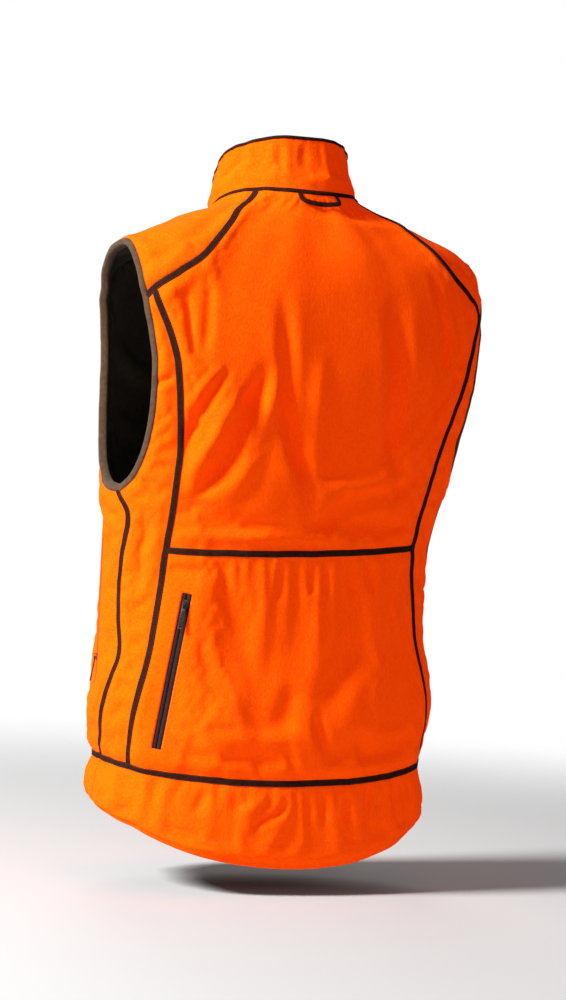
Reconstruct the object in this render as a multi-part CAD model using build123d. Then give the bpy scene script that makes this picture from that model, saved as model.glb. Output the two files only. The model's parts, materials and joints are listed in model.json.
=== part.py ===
from build123d import *
import math
import os
from functools import lru_cache
import numpy as np

# Blaze orange hunting vest with stand collar, full-length front zip, two hand pockets and one
# back pocket, as it sits on a wearer.  Millimetres.  +Z up, wearer faces -Y, wearer's left is +X.
# The origin is on the wearer's neck axis, at the height of the side neck points.

os.makedirs("parts", exist_ok=True)

# ---------------------------------------------------------------- body shape
# The garment is a stack of rings.  A ring has a level (0 at the hem edge, 9 at the collar seam,
# 10 at the collar rim), half width, back depth, heights at back, side and front, and squareness.
RINGS = (
    (0.0, 203, 128, -758, -698, -712, 0.10),  # hem edge
    (1.0, 209, 132, -705, -668, -672, 0.10),  # skirt bulge
    (1.5, 199, 126, -666, -645, -645, 0.10),  # hem seam, drawn in
    (2.0, 208, 132, -600, -588, -588, 0.10),  # seat
    (3.0, 199, 122, -500, -492, -492, 0.10),  # hips
    (4.0, 203, 118, -405, -395, -395, 0.10),  # waist
    (5.0, 219, 130, -300, -300, -300, 0.11),  # ribs
    (6.0, 236, 142, -190, -190, -200, 0.12),  # shoulder blades
    (7.0, 229, 130, -85, -62, -120, 0.10),  # shoulder points
    (8.0, 163, 104, -22, -24, -90, 0.05),  # top of the shoulders
    (9.0, 88, 80, 16, 0, -62, 0.00),  # collar seam
    (9.5, 84, 75, 47, 30, -31, 0.00),  # half way up the collar
    (10.0, 77, 66, 80, 56, 4, 0.00),  # collar rim
)
# The wearer's stance: level, twist of the back in degrees, sideways shift, sideways tilt.
STANCE = (
    (0.0, 3, -7, -0.022),
    (1.5, 4, -6, -0.022),
    (3.0, 5, -1, -0.040),
    (4.0, 6, -2, -0.050),
    (6.0, 0, -13, 0.0),
    (7.5, -1, -12, 0.0),
    (9.0, -2, -2, 0.0),
    (10.0, -2, -1, 0.0),
)
FRONT_Y = -92.0  # front centre line at z = 0, which is straight so that the zip is
FRONT_LEAN = 0.06  # change of y per mm of height along it

# ---------------------------------------------------------------- seams, as (degrees, level)
# Degrees run round the body: 0 is the centre of the back, 90 the wearer's left, 180 the front.
HEM_SEAM = 1.53
WAIST = 4.05
ARMPIT = 4.73
CHEST = 4.4
YOKE = 6.6
RIDGE = 8.0  # where a shoulder panel is divided
COLLAR_SEAM = 9.0
RIM = 10.0
LEVEL_GAP = 0.008  # the same gap as SEAM_GAP, as a step of level
TURN_GAP = 0.25  # and as a step of turn round an armhole
ROW_LEVELS = 1.1  # tallest patch of cloth, in levels
BACK_COLUMNS = (-22.0, 12.0)  # degrees where the lower back is divided
LINING_COLUMNS = (-25.0, 10.0, 45.0)
HEM_COLUMN = 45.0  # degrees, each side of the centre, where the back hem panel is divided
COLLAR_COLUMN = 90.0
UNDER_ARM = 104.0  # where the front lining is, under the arm
UNDER_ARM_TURN = -128
LINING_SIDE = 80.0  # degrees of the lining's side seams
LINING_HALF = 17.5  # from the front centre line to a front lining's edge
HEM_LINING = 0.05  # level of the lining's lower edge
UNDER_TURN = -90  # turn of an armhole's lowest point
TOP_TURN = 90
SHOULDER_LINING_TURN = -269  # where the front lining meets the back one on the shoulder
LINING_SEAM = 0.4  # degrees between them at the side
PRINCESS = ((67, 1.53), (57.5, 2.46), (52, 3.3), (47.5, 4.05), (45.5, 4.8), (45.5, 5.3), (48, 5.85),
            (52.5, 6.25), (60, 6.6))
DIAGONAL = ((64.4, 6.5), (60, 6.6), (50, 6.8), (42, 7.1), (41, 7.75), (45.5, 8.5), (49, 9))
SIDE_SEAM = ((91.5, 1.53), (83, 2.1), (78.5, 2.4), (73.7, 2.75), (76, 3.2), (76.5, 3.5), (74, 3.88),
             (69.8, 4.4), (80, 4.73))
FRONT_YOKE = ((114.5, 6.68), (120, 7.2), (123, 8.0), (125, 9))
ARMHOLE_TOP = 88.0  # degrees at the top of the armhole
ARMHOLE_SKEW = 8.0  # how far its lowest point lies behind that
ARMHOLE_LEVEL = 5.9
ARMHOLE_RISE = 1.17
ARMHOLE_BACK = 25.0  # half width towards the back
ARMHOLE_FRONT = 38.0  # half width towards the front
DIAGONAL_TURN = 30.9  # where the diagonal seam meets the armhole, as an angle round it
YOKE_TURN = 138.2  # where the front yoke seam does
ARMPIT_TURNS = (-90, -115, -140, -160)  # under the arm, from the side seam forwards

# ---------------------------------------------------------------- cloth and trim
SHELL = (-1.0, 1.0)  # orange fleece, inner and outer offset from the garment surface
LINING = (-6.6, -5.8)
POCKET_BAG = (-5.2, -4.4)
SEAM_GAP = 0.5  # half the gap between two panels, under the piping
PIPING = (1.45, 2.25)
PIPING_WIDTH = 7.5
PRINCESS_ENDS = (4.5, 7.0)  # how much shorter each piping is than its seam, below and above
DIAGONAL_ENDS = (8.0, 5.0)
YOKE_ENDS = (11.0, 5.0)
SIDE_ENDS = (5.0, 7.0)
WAIST_ENDS = (4.6, 4.6)
COLLAR_PIPING_WIDTH = 5.0
BINDING_LIP = 4.5  # how far the armhole and collar bindings reach over each face
BINDING_CLOTH = 0.8
TRIM_GAP = 0.3  # between a trim and what it covers
LOOP_WIDTH = 5.5
LOOP_HALF_ANGLE = 15.5
LOOP_LIFT = 2.5  # how far the loop stands off the back at its middle
LOOP = ((LOOP_HALF_ANGLE, 8.88), (14.5, 8.76), (11, 8.70), (0, 8.68), (-11, 8.70), (-14.5, 8.76),
        (-LOOP_HALF_ANGLE, 8.88))
HAND_BAG = ((84, 126, 1.95), (84, 126, 4.25))  # near and far degrees and level, at each end
BACK_BAG = ((26, 64, 1.65), (16, 46, 3.8))

# ---------------------------------------------------------------- zips
SLOT_HALF = 5.6  # half the width of a pocket's slot
FRONT_HALF = 8.5  # from the front centre line to a front panel's edge
BACK_POCKET = ((49.9, 1.80), (38.1, 3.51))  # lower and upper end
HAND_POCKET = ((100.0, 2.55), (107.0, 4.10))
MID_FRONT = 130.0  # grain line that divides a front panel in two
SLOT_END = 4.0  # from a zip's end to its slot's end
BACK_LIFT = 3.5  # how far a zip's ends stand out from the rings
HAND_LIFT = -2.5
STIFF_MARGIN = 4.0  # width of cloth beside a slot that lies in the zip's plane
STIFF_REACH = 34.0  # over which it returns to the rings
STIFF_DEPTH = 60.0  # keeps the far side of the body out of it
TAPE = 0.3  # half thickness
POST_HALF = 0.3  # half thickness of the web that joins a slider's two plates
CENTRE_GAP = 0.6  # from the zip's centre line to each row of teeth
COIL = dict(half=2.6, low=-1.7, high=-0.3, plate=3.6, long=9.0, puller=30.0, wide=4.6)
TEETH = dict(half=3.0, low=-1.2, high=1.2, plate=4.6, long=12.0, puller=36.0, wide=6.4)
PLATE = 1.1  # thickness of a slider's plates
RUN_GAP = 0.35  # clearance round the teeth in a slider
PULLER_THICK = 1.5
PULLER_TILT = 9.0  # degrees that a puller hangs away from the cloth
BAR_RADIUS = 0.6  # hinge bar of a puller
STOP = 3.0  # length of a zip's stops
BAIL_WIDE = 1.8
BAIL_LONG = 7.0
BAIL_HIGH = 3.3
BAIL_THICK = 0.9
PIVOT_HIGH = 1.4  # hinge line above a slider's top plate
EYE_GAP = 0.4
EYE_LONG = 4.4
ARM_END = 0.8  # how far a puller's arms pass the hinge line
EYE_WALL = 0.4  # least wall round the hole in a puller's end
CORNER = 1.2  # rounding of a puller
PLATE_CORNER = 2.0
BOX_LONG = 8.0  # retainer box of the front zip
BOX_WALL = 0.4
PIN_LONG = 14.0
GUARD_HALF = 16.0
GUARD_END = 4.0
TOUCH_GAP = 0.05  # between parts of a zip that all but touch
REST_GAP = 0.5  # between a slider and the stop that it rests against

nodes = {}


def keep(name, solids):
    """Write one node's STEP file."""
    shape = Compound(children=solids) if isinstance(solids, list) else solids
    shape.label = name
    export_step(shape, f"parts/{name}.step")
    nodes[name] = shape


# ---------------------------------------------------------------- the garment surface


def ring_rows():
    rows = []
    for level, wide, back, z_back, z_side, z_front, square in RINGS:
        front = FRONT_Y + FRONT_LEAN * z_front
        mid = (z_back + z_front) / 2
        rows.append((wide, (back + front) / 2, (back - front) / 2, (mid + z_side) / 2,
                     (z_back - z_front) / 2, (mid - z_side) / 2, square))
    return np.array(rows, float)


LEVELS = np.array([ring[0] for ring in RINGS])
ROWS = ring_rows()


def smooth(knots, values, at):
    """Cubic curve through the values at the knots."""
    step = np.diff(knots)
    slope = np.diff(values, axis=0) / step[:, None]
    tangent = np.empty_like(values)
    tangent[0] = slope[0]
    tangent[-1] = slope[-1]
    before = step[:-1, None]
    after = step[1:, None]
    tangent[1:-1] = (slope[:-1] * after + slope[1:] * before) / (before + after)
    i = min(max(int(np.searchsorted(knots, at, side="right")) - 1, 0), len(step) - 1)
    u = (at - knots[i]) / step[i]
    return ((2 * u**3 - 3 * u**2 + 1) * values[i] + (u**3 - 2 * u**2 + u) * step[i] * tangent[i]
            + (3 * u**2 - 2 * u**3) * values[i + 1] + (u**3 - u**2) * step[i] * tangent[i + 1])


@lru_cache(maxsize=None)
def ring_at(level):
    table = np.array(STANCE)
    stance = [float(np.interp(level, table[:, 0], table[:, k])) for k in (1, 2, 3)]
    return [float(value) for value in smooth(LEVELS, ROWS, level)] + stance


def ring_surface(degrees, level):
    """Point on the rings, as x, y, z."""
    wide, y_mid, deep, z_mid, z_tip, z_side, square, twist, shift, tilt = ring_at(round(level, 6))
    back = (1 + math.cos(math.radians(degrees))) / 2
    turn = math.radians(degrees + twist * back)
    c, s = math.cos(turn), math.sin(turn)
    x = wide * s * (1 + square * c * c)
    y = y_mid + deep * c * (1 + square * s * s)
    z = z_mid + z_tip * c + z_side * math.cos(2 * turn) + tilt * x
    return np.array([x + shift * (1 - (1 - back) ** 3), y, z])


stiff = []  # the pocket zips, which hold the cloth beside them straight


def surface(degrees, level):
    """Point of the garment surface, as x, y, z."""
    point = ring_surface(degrees, level)
    for zipper in stiff:
        point = zipper.straighten(point)
    return point


def unit(vector):
    return vector / np.linalg.norm(vector)


def normal(degrees, level, shape=surface):
    """Outward unit normal of the garment surface."""
    round_body = shape(degrees + 0.05, level) - shape(degrees - 0.05, level)
    up_body = shape(degrees, level + 0.001) - shape(degrees, level - 0.001)
    return unit(np.cross(up_body, round_body))


def lifted(spot, out):
    return surface(*spot) + out * normal(*spot)


def spot_of(point, out_axis, guess):
    """(degrees, level) of the surface point that lies over `point` along `out_axis`."""
    side_axis = unit(np.cross(out_axis, [0.0, 0.0, 1.0]))
    up_axis = np.cross(side_axis, out_axis)
    axes = np.array([side_axis, up_axis])
    spot = np.array(guess, float)
    for _ in range(8):
        miss = axes @ (point - surface(*spot))
        by_degrees = axes @ (surface(spot[0] + 0.1, spot[1]) - surface(spot[0] - 0.1, spot[1])) / 0.2
        by_level = axes @ (surface(spot[0], spot[1] + 0.01) - surface(spot[0], spot[1] - 0.01)) / 0.02
        spot = spot + np.linalg.solve(np.array([by_degrees, by_level]).T, miss)
    return spot


# ---------------------------------------------------------------- curves on the surface
# A curve is a function from 0..1 to a spot, (degrees, level).


def seam(points, side=1):
    """Smooth seam through the points; side -1 mirrors it to the wearer's right."""
    values = np.array(points, float) * [side, 1]
    knots = np.linspace(0, 1, len(values))
    return lambda t: smooth(knots, values, t)


def straight(start, end):
    start, end = np.array(start, float), np.array(end, float)
    return lambda t: start + (end - start) * t


def part_of(curve, low, high):
    return lambda t: curve(low + (high - low) * t)


def armhole(side, turn):
    """Spot on the armhole: turn -90 is its lowest point, 0 its back edge, 90 its top."""
    c, s = math.cos(math.radians(turn)), math.sin(math.radians(turn))
    half = ARMHOLE_BACK if c > 0 else ARMHOLE_FRONT
    degrees = ARMHOLE_TOP - ARMHOLE_SKEW * (1 - s) / 2 - half * c
    return np.array([side * degrees, ARMHOLE_LEVEL + ARMHOLE_RISE * s])


def armhole_arc(side, low, high):
    return lambda t: armhole(side, low + (high - low) * t)


def at_level(curve, level):
    """Parameter where a rising curve reaches a level."""
    low, high = 0.0, 1.0
    for _ in range(40):
        mid = (low + high) / 2
        low, high = (mid, high) if curve(mid)[1] < level else (low, mid)
    return (low + high) / 2


def between(curve, low_level, high_level):
    return part_of(curve, at_level(curve, low_level), at_level(curve, high_level))


def beside(curve, across):
    """The curve moved sideways over the surface; positive is to the left of its direction."""

    def moved(t):
        ahead, behind = curve(min(t + 0.002, 1.0)), curve(max(t - 0.002, 0.0))
        spot = curve(t)
        out = normal(*spot)
        aside = unit(np.cross(out, unit(surface(*ahead) - surface(*behind))))
        return spot_of(surface(*spot) + across * aside, out, spot)

    return moved


def trimmed(curve, start, end):
    """The curve without its first `start` and last `end` millimetres."""
    steps = 200
    points = [surface(*curve(k / steps)) for k in range(steps + 1)]
    length = np.concatenate([[0], np.cumsum([np.linalg.norm(b - a) for a, b in zip(points, points[1:])])])
    low, high = np.interp([start, length[-1] - end], length, np.linspace(0, 1, steps + 1))
    return part_of(curve, low, high)


# ---------------------------------------------------------------- solids on the surface


@lru_cache(maxsize=None)
def fit(order):
    """Places along an edge, and the matrix from points there to Bezier control points."""
    if order == 1:
        return (0.0, 1.0), np.eye(2)
    places = [(1 - math.cos(math.pi * i / order)) / 2 for i in range(order + 1)]
    rows = [[math.comb(order, k) * t**k * (1 - t) ** (order - k) for k in range(order + 1)] for t in places]
    return tuple(places), np.linalg.inv(np.array(rows))


def curved_face(points):
    """Bezier face through a grid of points laid out at the places that fit() gives."""
    points = np.array(points)
    across, along = fit(points.shape[0] - 1)[1], fit(points.shape[1] - 1)[1]
    poles = np.einsum("ai,bj,ijk->abk", across, along, points)
    return Face.make_bezier_surface([[tuple(float(c) for c in pole) for pole in row] for row in poles])


def closed(faces):
    """Solid inside faces that meet edge to edge."""
    solid = Solid(Shell(faces))
    if not solid.is_valid or abs(solid.volume) < 1e-3:
        raise ValueError("faces do not close")
    return solid


def patch(left, right, bottom=None, top=None, order=(7, 7)):
    """Four-sided piece of the surface: two upright curves, and level ones that may be straight."""
    corners = left(0), right(0), left(1), right(1)

    def rail_between(curve, start, end):
        if curve is None:
            return straight(start, end)
        fix_start, fix_end = start - curve(0), end - curve(1)
        return lambda u: curve(u) + fix_start * (1 - u) + fix_end * u

    low = rail_between(bottom, corners[0], corners[1])
    high = rail_between(top, corners[2], corners[3])
    grid = []
    for u in fit(order[0])[0]:
        row = []
        for v in fit(order[1])[0]:
            flat = ((1 - u) * (1 - v) * corners[0] + u * (1 - v) * corners[1]
                    + (1 - u) * v * corners[2] + u * v * corners[3])
            row.append((1 - v) * low(u) + v * high(u) + (1 - u) * left(v) + u * right(v) - flat)
        grid.append(row)
    return grid


def strip(left, right, order=(7, 7)):
    """Patches between two upright curves, cut into rows short enough to follow the surface."""
    count = max(1, math.ceil(abs(left(1)[1] - left(0)[1]) / ROW_LEVELS))
    cuts = [k / count for k in range(count + 1)]
    return [patch(part_of(left, a, b), part_of(right, a, b), order=order) for a, b in zip(cuts, cuts[1:])]


def strips(lines, order=(7, 7)):
    """Strips between neighbouring upright curves."""
    return [piece for a, b in zip(lines, lines[1:]) for piece in strip(a, b, order)]


def sheet(patches, low, high):
    """One closed piece of cloth over patches that meet, between two offsets."""
    outer = [curved_face([[lifted(spot, high) for spot in row] for row in grid]) for grid in patches]
    inner = [curved_face([[lifted(spot, low) for spot in row] for row in grid]) for grid in patches]
    middles = [(edge @ 0.5) for face in outer for edge in face.edges()]
    walls = []
    for top_face, under_face in zip(outer, inner):
        for edge, under in zip(top_face.edges(), under_face.edges()):
            if sum((edge @ 0.5 - middle).length < 0.01 for middle in middles) == 1:
                walls.append(Face.make_surface_from_curves(under, edge))
    return closed(outer + inner + walls)


def ribbon(curve, section, spans, loop=False, order=4, lift=None):
    """Trim laid along a curve; section lists its corners as (across, out)."""
    lines = []
    for span in range(spans):
        line = []
        for place in fit(order)[0]:
            t = (span + place) / spans
            ahead, behind = (t + 0.002, t - 0.002) if loop else (min(t + 0.002, 1.0), max(t - 0.002, 0.0))
            base, out = surface(*curve(t)), normal(*curve(t))
            along = surface(*curve(ahead)) - surface(*curve(behind))
            along = unit(along - (along @ out) * out)
            aside = np.cross(out, along)
            rise = lift(t) if lift else 0.0
            row = []
            for across, up in section:
                spot = spot_of(base + across * aside, out, curve(t))
                height = (surface(*spot) - base) @ out
                row.append(base + across * aside + (height + up + rise) * out)
            line.append(row)
        lines.append(line)
    if loop:
        lines[-1][-1] = lines[0][0]
    faces = []
    for line in lines:
        for k in range(len(section)):
            after = (k + 1) % len(section)
            faces.append(curved_face([[row[k] for row in line], [row[after] for row in line]]))
    if not loop:
        for end in (lines[0][0], lines[-1][-1]):
            faces.append(Face(Wire.make_polygon([tuple(p) for p in end], close=True)))
    return closed(faces)


def flat_section(width, offsets):
    """Flat tape, with a corner in the middle of each face so that it follows a bulging surface."""
    half = width / 2
    low, high = offsets
    return [(-half, low), (0.0, low), (half, low), (half, high), (0.0, high), (-half, high)]


def binding_section(lip):
    """Folded tape round an edge of shell and lining; the edge lies at across = 0."""
    far = TRIM_GAP + BINDING_CLOTH
    high = SHELL[1] + TRIM_GAP
    low = LINING[0] - TRIM_GAP
    return [(-lip, high), (TRIM_GAP, high), (TRIM_GAP, low), (-lip, low), (-lip, low - BINDING_CLOTH),
            (far, low - BINDING_CLOTH), (far, high + BINDING_CLOTH), (-lip, high + BINDING_CLOTH)]


# ---------------------------------------------------------------- zips


def fade(distance, start, reach):
    """1 up to `start`, falling smoothly to 0 over `reach` more."""
    t = min(max((distance - start) / reach, 0.0), 1.0)
    return 1 - t * t * (3 - 2 * t)


class Zip:
    """A straight zip: a start point, the way it runs, its outward and sideways axes, its sizes."""

    def __init__(self, start, end, out, sizes, spots=None):
        self.start = np.array(start, float)
        self.spots = spots  # (degrees, level) of its two ends
        self.length = float(np.linalg.norm(end - start))
        self.along = (end - start) / self.length
        self.out = unit(out - self.along * (out @ self.along))
        self.aside = np.cross(self.along, self.out)
        self.sizes = sizes

    def at(self, along, aside=0.0, out=0.0):
        return self.start + along * self.along + aside * self.aside + out * self.out

    def straighten(self, point):
        """The point moved onto the zip's plane, less and less away from the zip."""
        away = point - self.start
        along, aside, out = away @ self.along, abs(away @ self.aside), away @ self.out
        if abs(out) > STIFF_DEPTH:
            return point
        past = max(-along, along - self.length, 0.0)
        hold_across = fade(aside, SLOT_HALF + STIFF_MARGIN, STIFF_REACH)
        hold_along = fade(past, SLOT_END + STIFF_MARGIN, STIFF_REACH)
        return point - hold_across * hold_along * out * self.out

    def plane(self, along, out=0.0):
        return Plane(origin=tuple(self.at(along, 0.0, out)), x_dir=tuple(self.aside), z_dir=tuple(self.out))

    def block(self, along, aside, out):
        """Box between three pairs of offsets: along, aside and out."""
        box = Solid.make_box(aside[1] - aside[0], along[1] - along[0], out[1] - out[0])
        return self.plane(along[0], out[0]) * Pos(aside[0], 0, 0) * box

    def pair(self, along, aside, out):
        """The same box on both sides of the zip."""
        return [self.block(along, aside, out), self.block(along, (-aside[1], -aside[0]), out)]

    def slot_edge(self, hand):
        """Long edge of the slot that the zip sits in, as a curve; hand -1 or 1."""
        full = self.length + 2 * SLOT_END
        guess = straight(*self.spots)
        return lambda t: spot_of(self.at(full * t - SLOT_END, hand * SLOT_HALF), self.out, guess(t))

    def plate_top(self):
        return max(self.sizes["high"], TAPE) + RUN_GAP + PLATE

    def slider(self, along):
        """Two plates joined by a thin web, with a bail on top for the puller's bar."""
        sizes = self.sizes
        outline = RectangleRounded(2 * sizes["plate"], sizes["long"], PLATE_CORNER)
        top = self.plate_top()
        under = sizes["low"] - RUN_GAP - PLATE
        web = Pos(0, 0, (top + under) / 2) * Box(2 * POST_HALF, sizes["long"] / 2, top - under - PLATE)
        body = Pos(0, 0, top - PLATE) * extrude(outline, PLATE) + Pos(0, 0, under) * extrude(outline, PLATE)
        arch = Pos(0, 0, top + BAIL_HIGH / 2) * Box(BAIL_WIDE, BAIL_LONG, BAIL_HIGH)
        high = BAIL_HIGH - BAIL_THICK
        window = Pos(0, 0, top + high / 2) * Box(2 * BAIL_WIDE, BAIL_LONG - 2 * BAIL_THICK, high)
        return self.plane(along) * (body + web + (arch - window))

    def pivot(self, along):
        return self.at(along, 0.0, self.plate_top() + PIVOT_HIGH)

    def puller(self, along):
        """Flat tab with an eye that goes round the slider's bail, and a hole near its end."""
        sizes = self.sizes
        long, wide = sizes["puller"], sizes["wide"]
        eye = BAIL_WIDE + 2 * EYE_GAP
        outline = RectangleRounded(wide, long, CORNER)
        tab = Pos(0, ARM_END - long / 2, -PULLER_THICK / 2) * extrude(outline, PULLER_THICK)
        opening = Pos(0, 1 - EYE_LONG / 2, 0) * Box(eye, EYE_LONG + 2, 2 * PULLER_THICK)
        hole = Pos(0, ARM_END - long + wide / 2 + EYE_WALL, 0) * Cylinder(wide / 4, 2 * PULLER_THICK)
        bar = Rot(0, 90, 0) * Cylinder(BAR_RADIUS, eye + 1)
        hanging = Plane(origin=tuple(self.pivot(along)), x_dir=tuple(self.aside), z_dir=tuple(self.out))
        return hanging * Rot(-PULLER_TILT, 0, 0) * (tab - opening - hole + bar)

    def report(self, name, rest, travel):
        """Print the joint facts of this zip, in metres."""
        run = self.along if travel > 0 else -self.along
        swing = -self.aside
        print(name, "slide axis", [round(float(c), 6) for c in run], "range", round(abs(travel) / 1000, 4),
              "pivot", [round(float(c) / 1000, 5) for c in self.pivot(rest)],
              "swing axis", [round(float(c), 6) for c in swing])


def pocket_zip(side, ends, lift):
    low, high = [(side * degrees, level) for degrees, level in ends]
    outs = [normal(*spot, shape=ring_surface) for spot in (low, high)]
    start, end = [ring_surface(*spot) + lift * out for spot, out in zip((low, high), outs)]
    return Zip(start, end, outs[0] + outs[1], COIL, (low, high))


# ---------------------------------------------------------------- cloth panels


def in_order(side, inward, outward):
    """A pair from the wearer's right to left, whichever side it is on."""
    return (inward, outward) if side > 0 else (outward, inward)


def steps_of(curve, levels, across):
    """The curve moved sideways, cut into steps at the levels."""
    moved = beside(curve, across)
    cuts = [at_level(curve, level) for level in levels]
    return [part_of(moved, low, high) for low, high in zip(cuts, cuts[1:])]


def front_edge(side, low, high, half=FRONT_HALF):
    """Edge of a front panel beside the zip, straight and `half` from the centre line."""

    def edge(t):
        level = low + (high - low) * t
        wide, square = ring_at(round(level, 6))[0], ring_at(round(level, 6))[6]
        return np.array([side * (180 - math.degrees(math.asin(half / (wide * (1 + square))))), level])

    return edge


def pinned(curve, start):
    """The curve moved a little so that it starts at the given spot."""
    fix = start - curve(0)
    return lambda t: curve(t) + fix * (1 - t)


def upper_back_panel():
    columns = []
    for side in (-1, 1):
        princess = between(seam(PRINCESS, side), WAIST + LEVEL_GAP, YOKE - LEVEL_GAP)
        diagonal = between(seam(DIAGONAL, side), YOKE, COLLAR_SEAM - LEVEL_GAP)
        low = beside(princess, -side * SEAM_GAP)
        columns.append((low, pinned(beside(diagonal, -side * SEAM_GAP), low(1))))
    return sheet([piece for k in (0, 1) for piece in strip(columns[0][k], columns[1][k])], *SHELL)


def slotted(columns, gap):
    """Patches between columns of curves, without the middle row of column `gap`, which is the slot."""
    rows = range(len(columns[0]))
    kept = [(c, row) for c in range(len(columns) - 1) for row in rows if (c, row) != (gap, 1)]
    return [piece for c, row in kept for piece in strip(columns[c][row], columns[c + 1][row])]


def slot_column(edge, low, high):
    """Curves below, along and above one long edge of a slot."""
    foot, head = edge(0), edge(1)
    return [straight((foot[0], low), foot), edge, straight(head, (head[0], high))]


def upright(degrees, levels):
    """Curves straight up the cloth between levels."""
    return [straight((degrees, low), (degrees, high)) for low, high in zip(levels, levels[1:])]


def lower_back_panel(zipper):
    low_level, high_level = HEM_SEAM + LEVEL_GAP, WAIST - LEVEL_GAP
    edges = [zipper.slot_edge(hand) for hand in (1, -1)]
    levels = [low_level, edges[0](0)[1], edges[0](1)[1], high_level]
    outer = [steps_of(seam(PRINCESS, side), levels, -side * SEAM_GAP) for side in (-1, 1)]
    middle = [upright(degrees, levels) for degrees in BACK_COLUMNS]
    slots = [slot_column(edge, low_level, high_level) for edge in edges]
    columns = [outer[0]] + middle + slots + [outer[1]]
    return sheet(slotted(columns, len(middle) + 1), *SHELL)


def back_side_panel(side):
    princess = seam(PRINCESS, side)
    low_in = beside(between(princess, HEM_SEAM + LEVEL_GAP, ARMPIT), side * SEAM_GAP)
    low_out = beside(between(seam(SIDE_SEAM, side), HEM_SEAM + LEVEL_GAP, ARMPIT), -side * SEAM_GAP)
    high_in = beside(between(princess, ARMPIT, YOKE - 3 * LEVEL_GAP), side * SEAM_GAP)
    high_out = armhole_arc(side, UNDER_TURN, DIAGONAL_TURN - 4 * TURN_GAP)
    low = strip(*in_order(side, low_in, low_out))
    high = strip(*in_order(side, pinned(high_in, low_in(1)), pinned(high_out, low_out(1))))
    return sheet(low + high, *SHELL)


def shoulder_panel(side):
    top = COLLAR_SEAM - LEVEL_GAP
    low_turn, high_turn = DIAGONAL_TURN + TURN_GAP, YOKE_TURN - TURN_GAP
    diagonal = steps_of(seam(DIAGONAL, side), (DIAGONAL[0][1], RIDGE, top), side * SEAM_GAP)
    diagonal[0] = pinned(diagonal[0], armhole(side, low_turn))
    yoke = steps_of(seam(FRONT_YOKE, side), (FRONT_YOKE[0][1], RIDGE, top), -side * SEAM_GAP)
    yoke[0] = pinned(yoke[0], armhole(side, high_turn))
    shoulder = armhole(side, TOP_TURN)
    middle = [straight(shoulder, (shoulder[0], RIDGE)), straight((shoulder[0], RIDGE), (shoulder[0], top))]
    back_arc = armhole_arc(side, low_turn, TOP_TURN)
    front_arc = armhole_arc(side, TOP_TURN, high_turn)
    if side > 0:
        columns, feet = [diagonal, middle, yoke], [back_arc, front_arc]
    else:
        columns, feet = [yoke, middle, diagonal], [part_of(front_arc, 1, 0), part_of(back_arc, 1, 0)]
    patches = []
    for left, right, foot in zip(columns, columns[1:], feet):
        patches.append(patch(left[0], right[0], bottom=foot, order=(9, 9)))
        patches.append(patch(left[1], right[1], order=(9, 9)))
    return sheet(patches, *SHELL)


def front_panel(side, zipper):
    """Front panel with the hand pocket's slot, from the side seam and armhole to the front zip."""
    hem = HEM_SEAM + LEVEL_GAP
    edges = [zipper.slot_edge(hand) for hand in (side, -side)]
    levels = [hem, edges[0](0)[1], edges[0](1)[1], CHEST]
    middle = upright(side * MID_FRONT, levels)
    columns = [steps_of(seam(SIDE_SEAM, side), levels, side * SEAM_GAP)]
    columns += [slot_column(edge, hem, CHEST) for edge in edges] + [middle]
    feet = [column[-1](1) for column in columns]
    patches = slotted(columns if side > 0 else columns[::-1], 1)
    # below the armhole
    turns = ARMPIT_TURNS
    tops = [armhole(side, turn) for turn in turns]
    for k in range(3):
        walls = straight(feet[k], tops[k]), straight(feet[k + 1], tops[k + 1])
        over = armhole_arc(side, turns[k], turns[k + 1])
        patches.append(patch(*in_order(side, *walls), top=over if side > 0 else part_of(over, 1, 0)))
    # from the middle of the front to the zip
    chest = tops[-1][1]
    yoke = between(seam(FRONT_YOKE, side), FRONT_YOKE[0][1], COLLAR_SEAM - LEVEL_GAP)
    inner = middle + [straight(feet[3], tops[3])]
    inner.append(armhole_arc(side, turns[-1], YOKE_TURN + TURN_GAP - 360))
    inner.append(pinned(beside(yoke, side * SEAM_GAP), inner[-1](1)))
    rows = levels + [chest, inner[-1](0)[1], COLLAR_SEAM - LEVEL_GAP]
    for k, column in enumerate(inner):
        patches += strip(*in_order(side, column, front_edge(side, rows[k], rows[k + 1])))
    return sheet(patches, *SHELL)


def band(edges, low, high, offsets):
    """Ring-shaped piece between two levels; edges are its upright lines, right to left."""
    lines = [edge if callable(edge) else straight((edge, low), (edge, high)) for edge in edges]
    return sheet(strips(lines), *offsets)


def back_lining():
    levels = [HEM_LINING, ARMPIT, armhole(1, DIAGONAL_TURN)[1], armhole(1, TOP_TURN)[1]]
    levels.append(COLLAR_SEAM - LEVEL_GAP)
    columns = [upright(degrees, levels) for degrees in LINING_COLUMNS]
    for side in (-1, 1):
        foot, armpit = (side * LINING_SIDE, HEM_LINING), armhole(side, UNDER_TURN)
        top = armhole(side, TOP_TURN)
        edge = [straight(foot, armpit), armhole_arc(side, UNDER_TURN, DIAGONAL_TURN),
                armhole_arc(side, DIAGONAL_TURN, TOP_TURN), straight(top, (top[0], levels[-1]))]
        columns.insert(0 if side < 0 else len(columns), edge)
    return sheet([piece for lines in zip(*columns) for piece in strips(lines)], *LINING)


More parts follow.
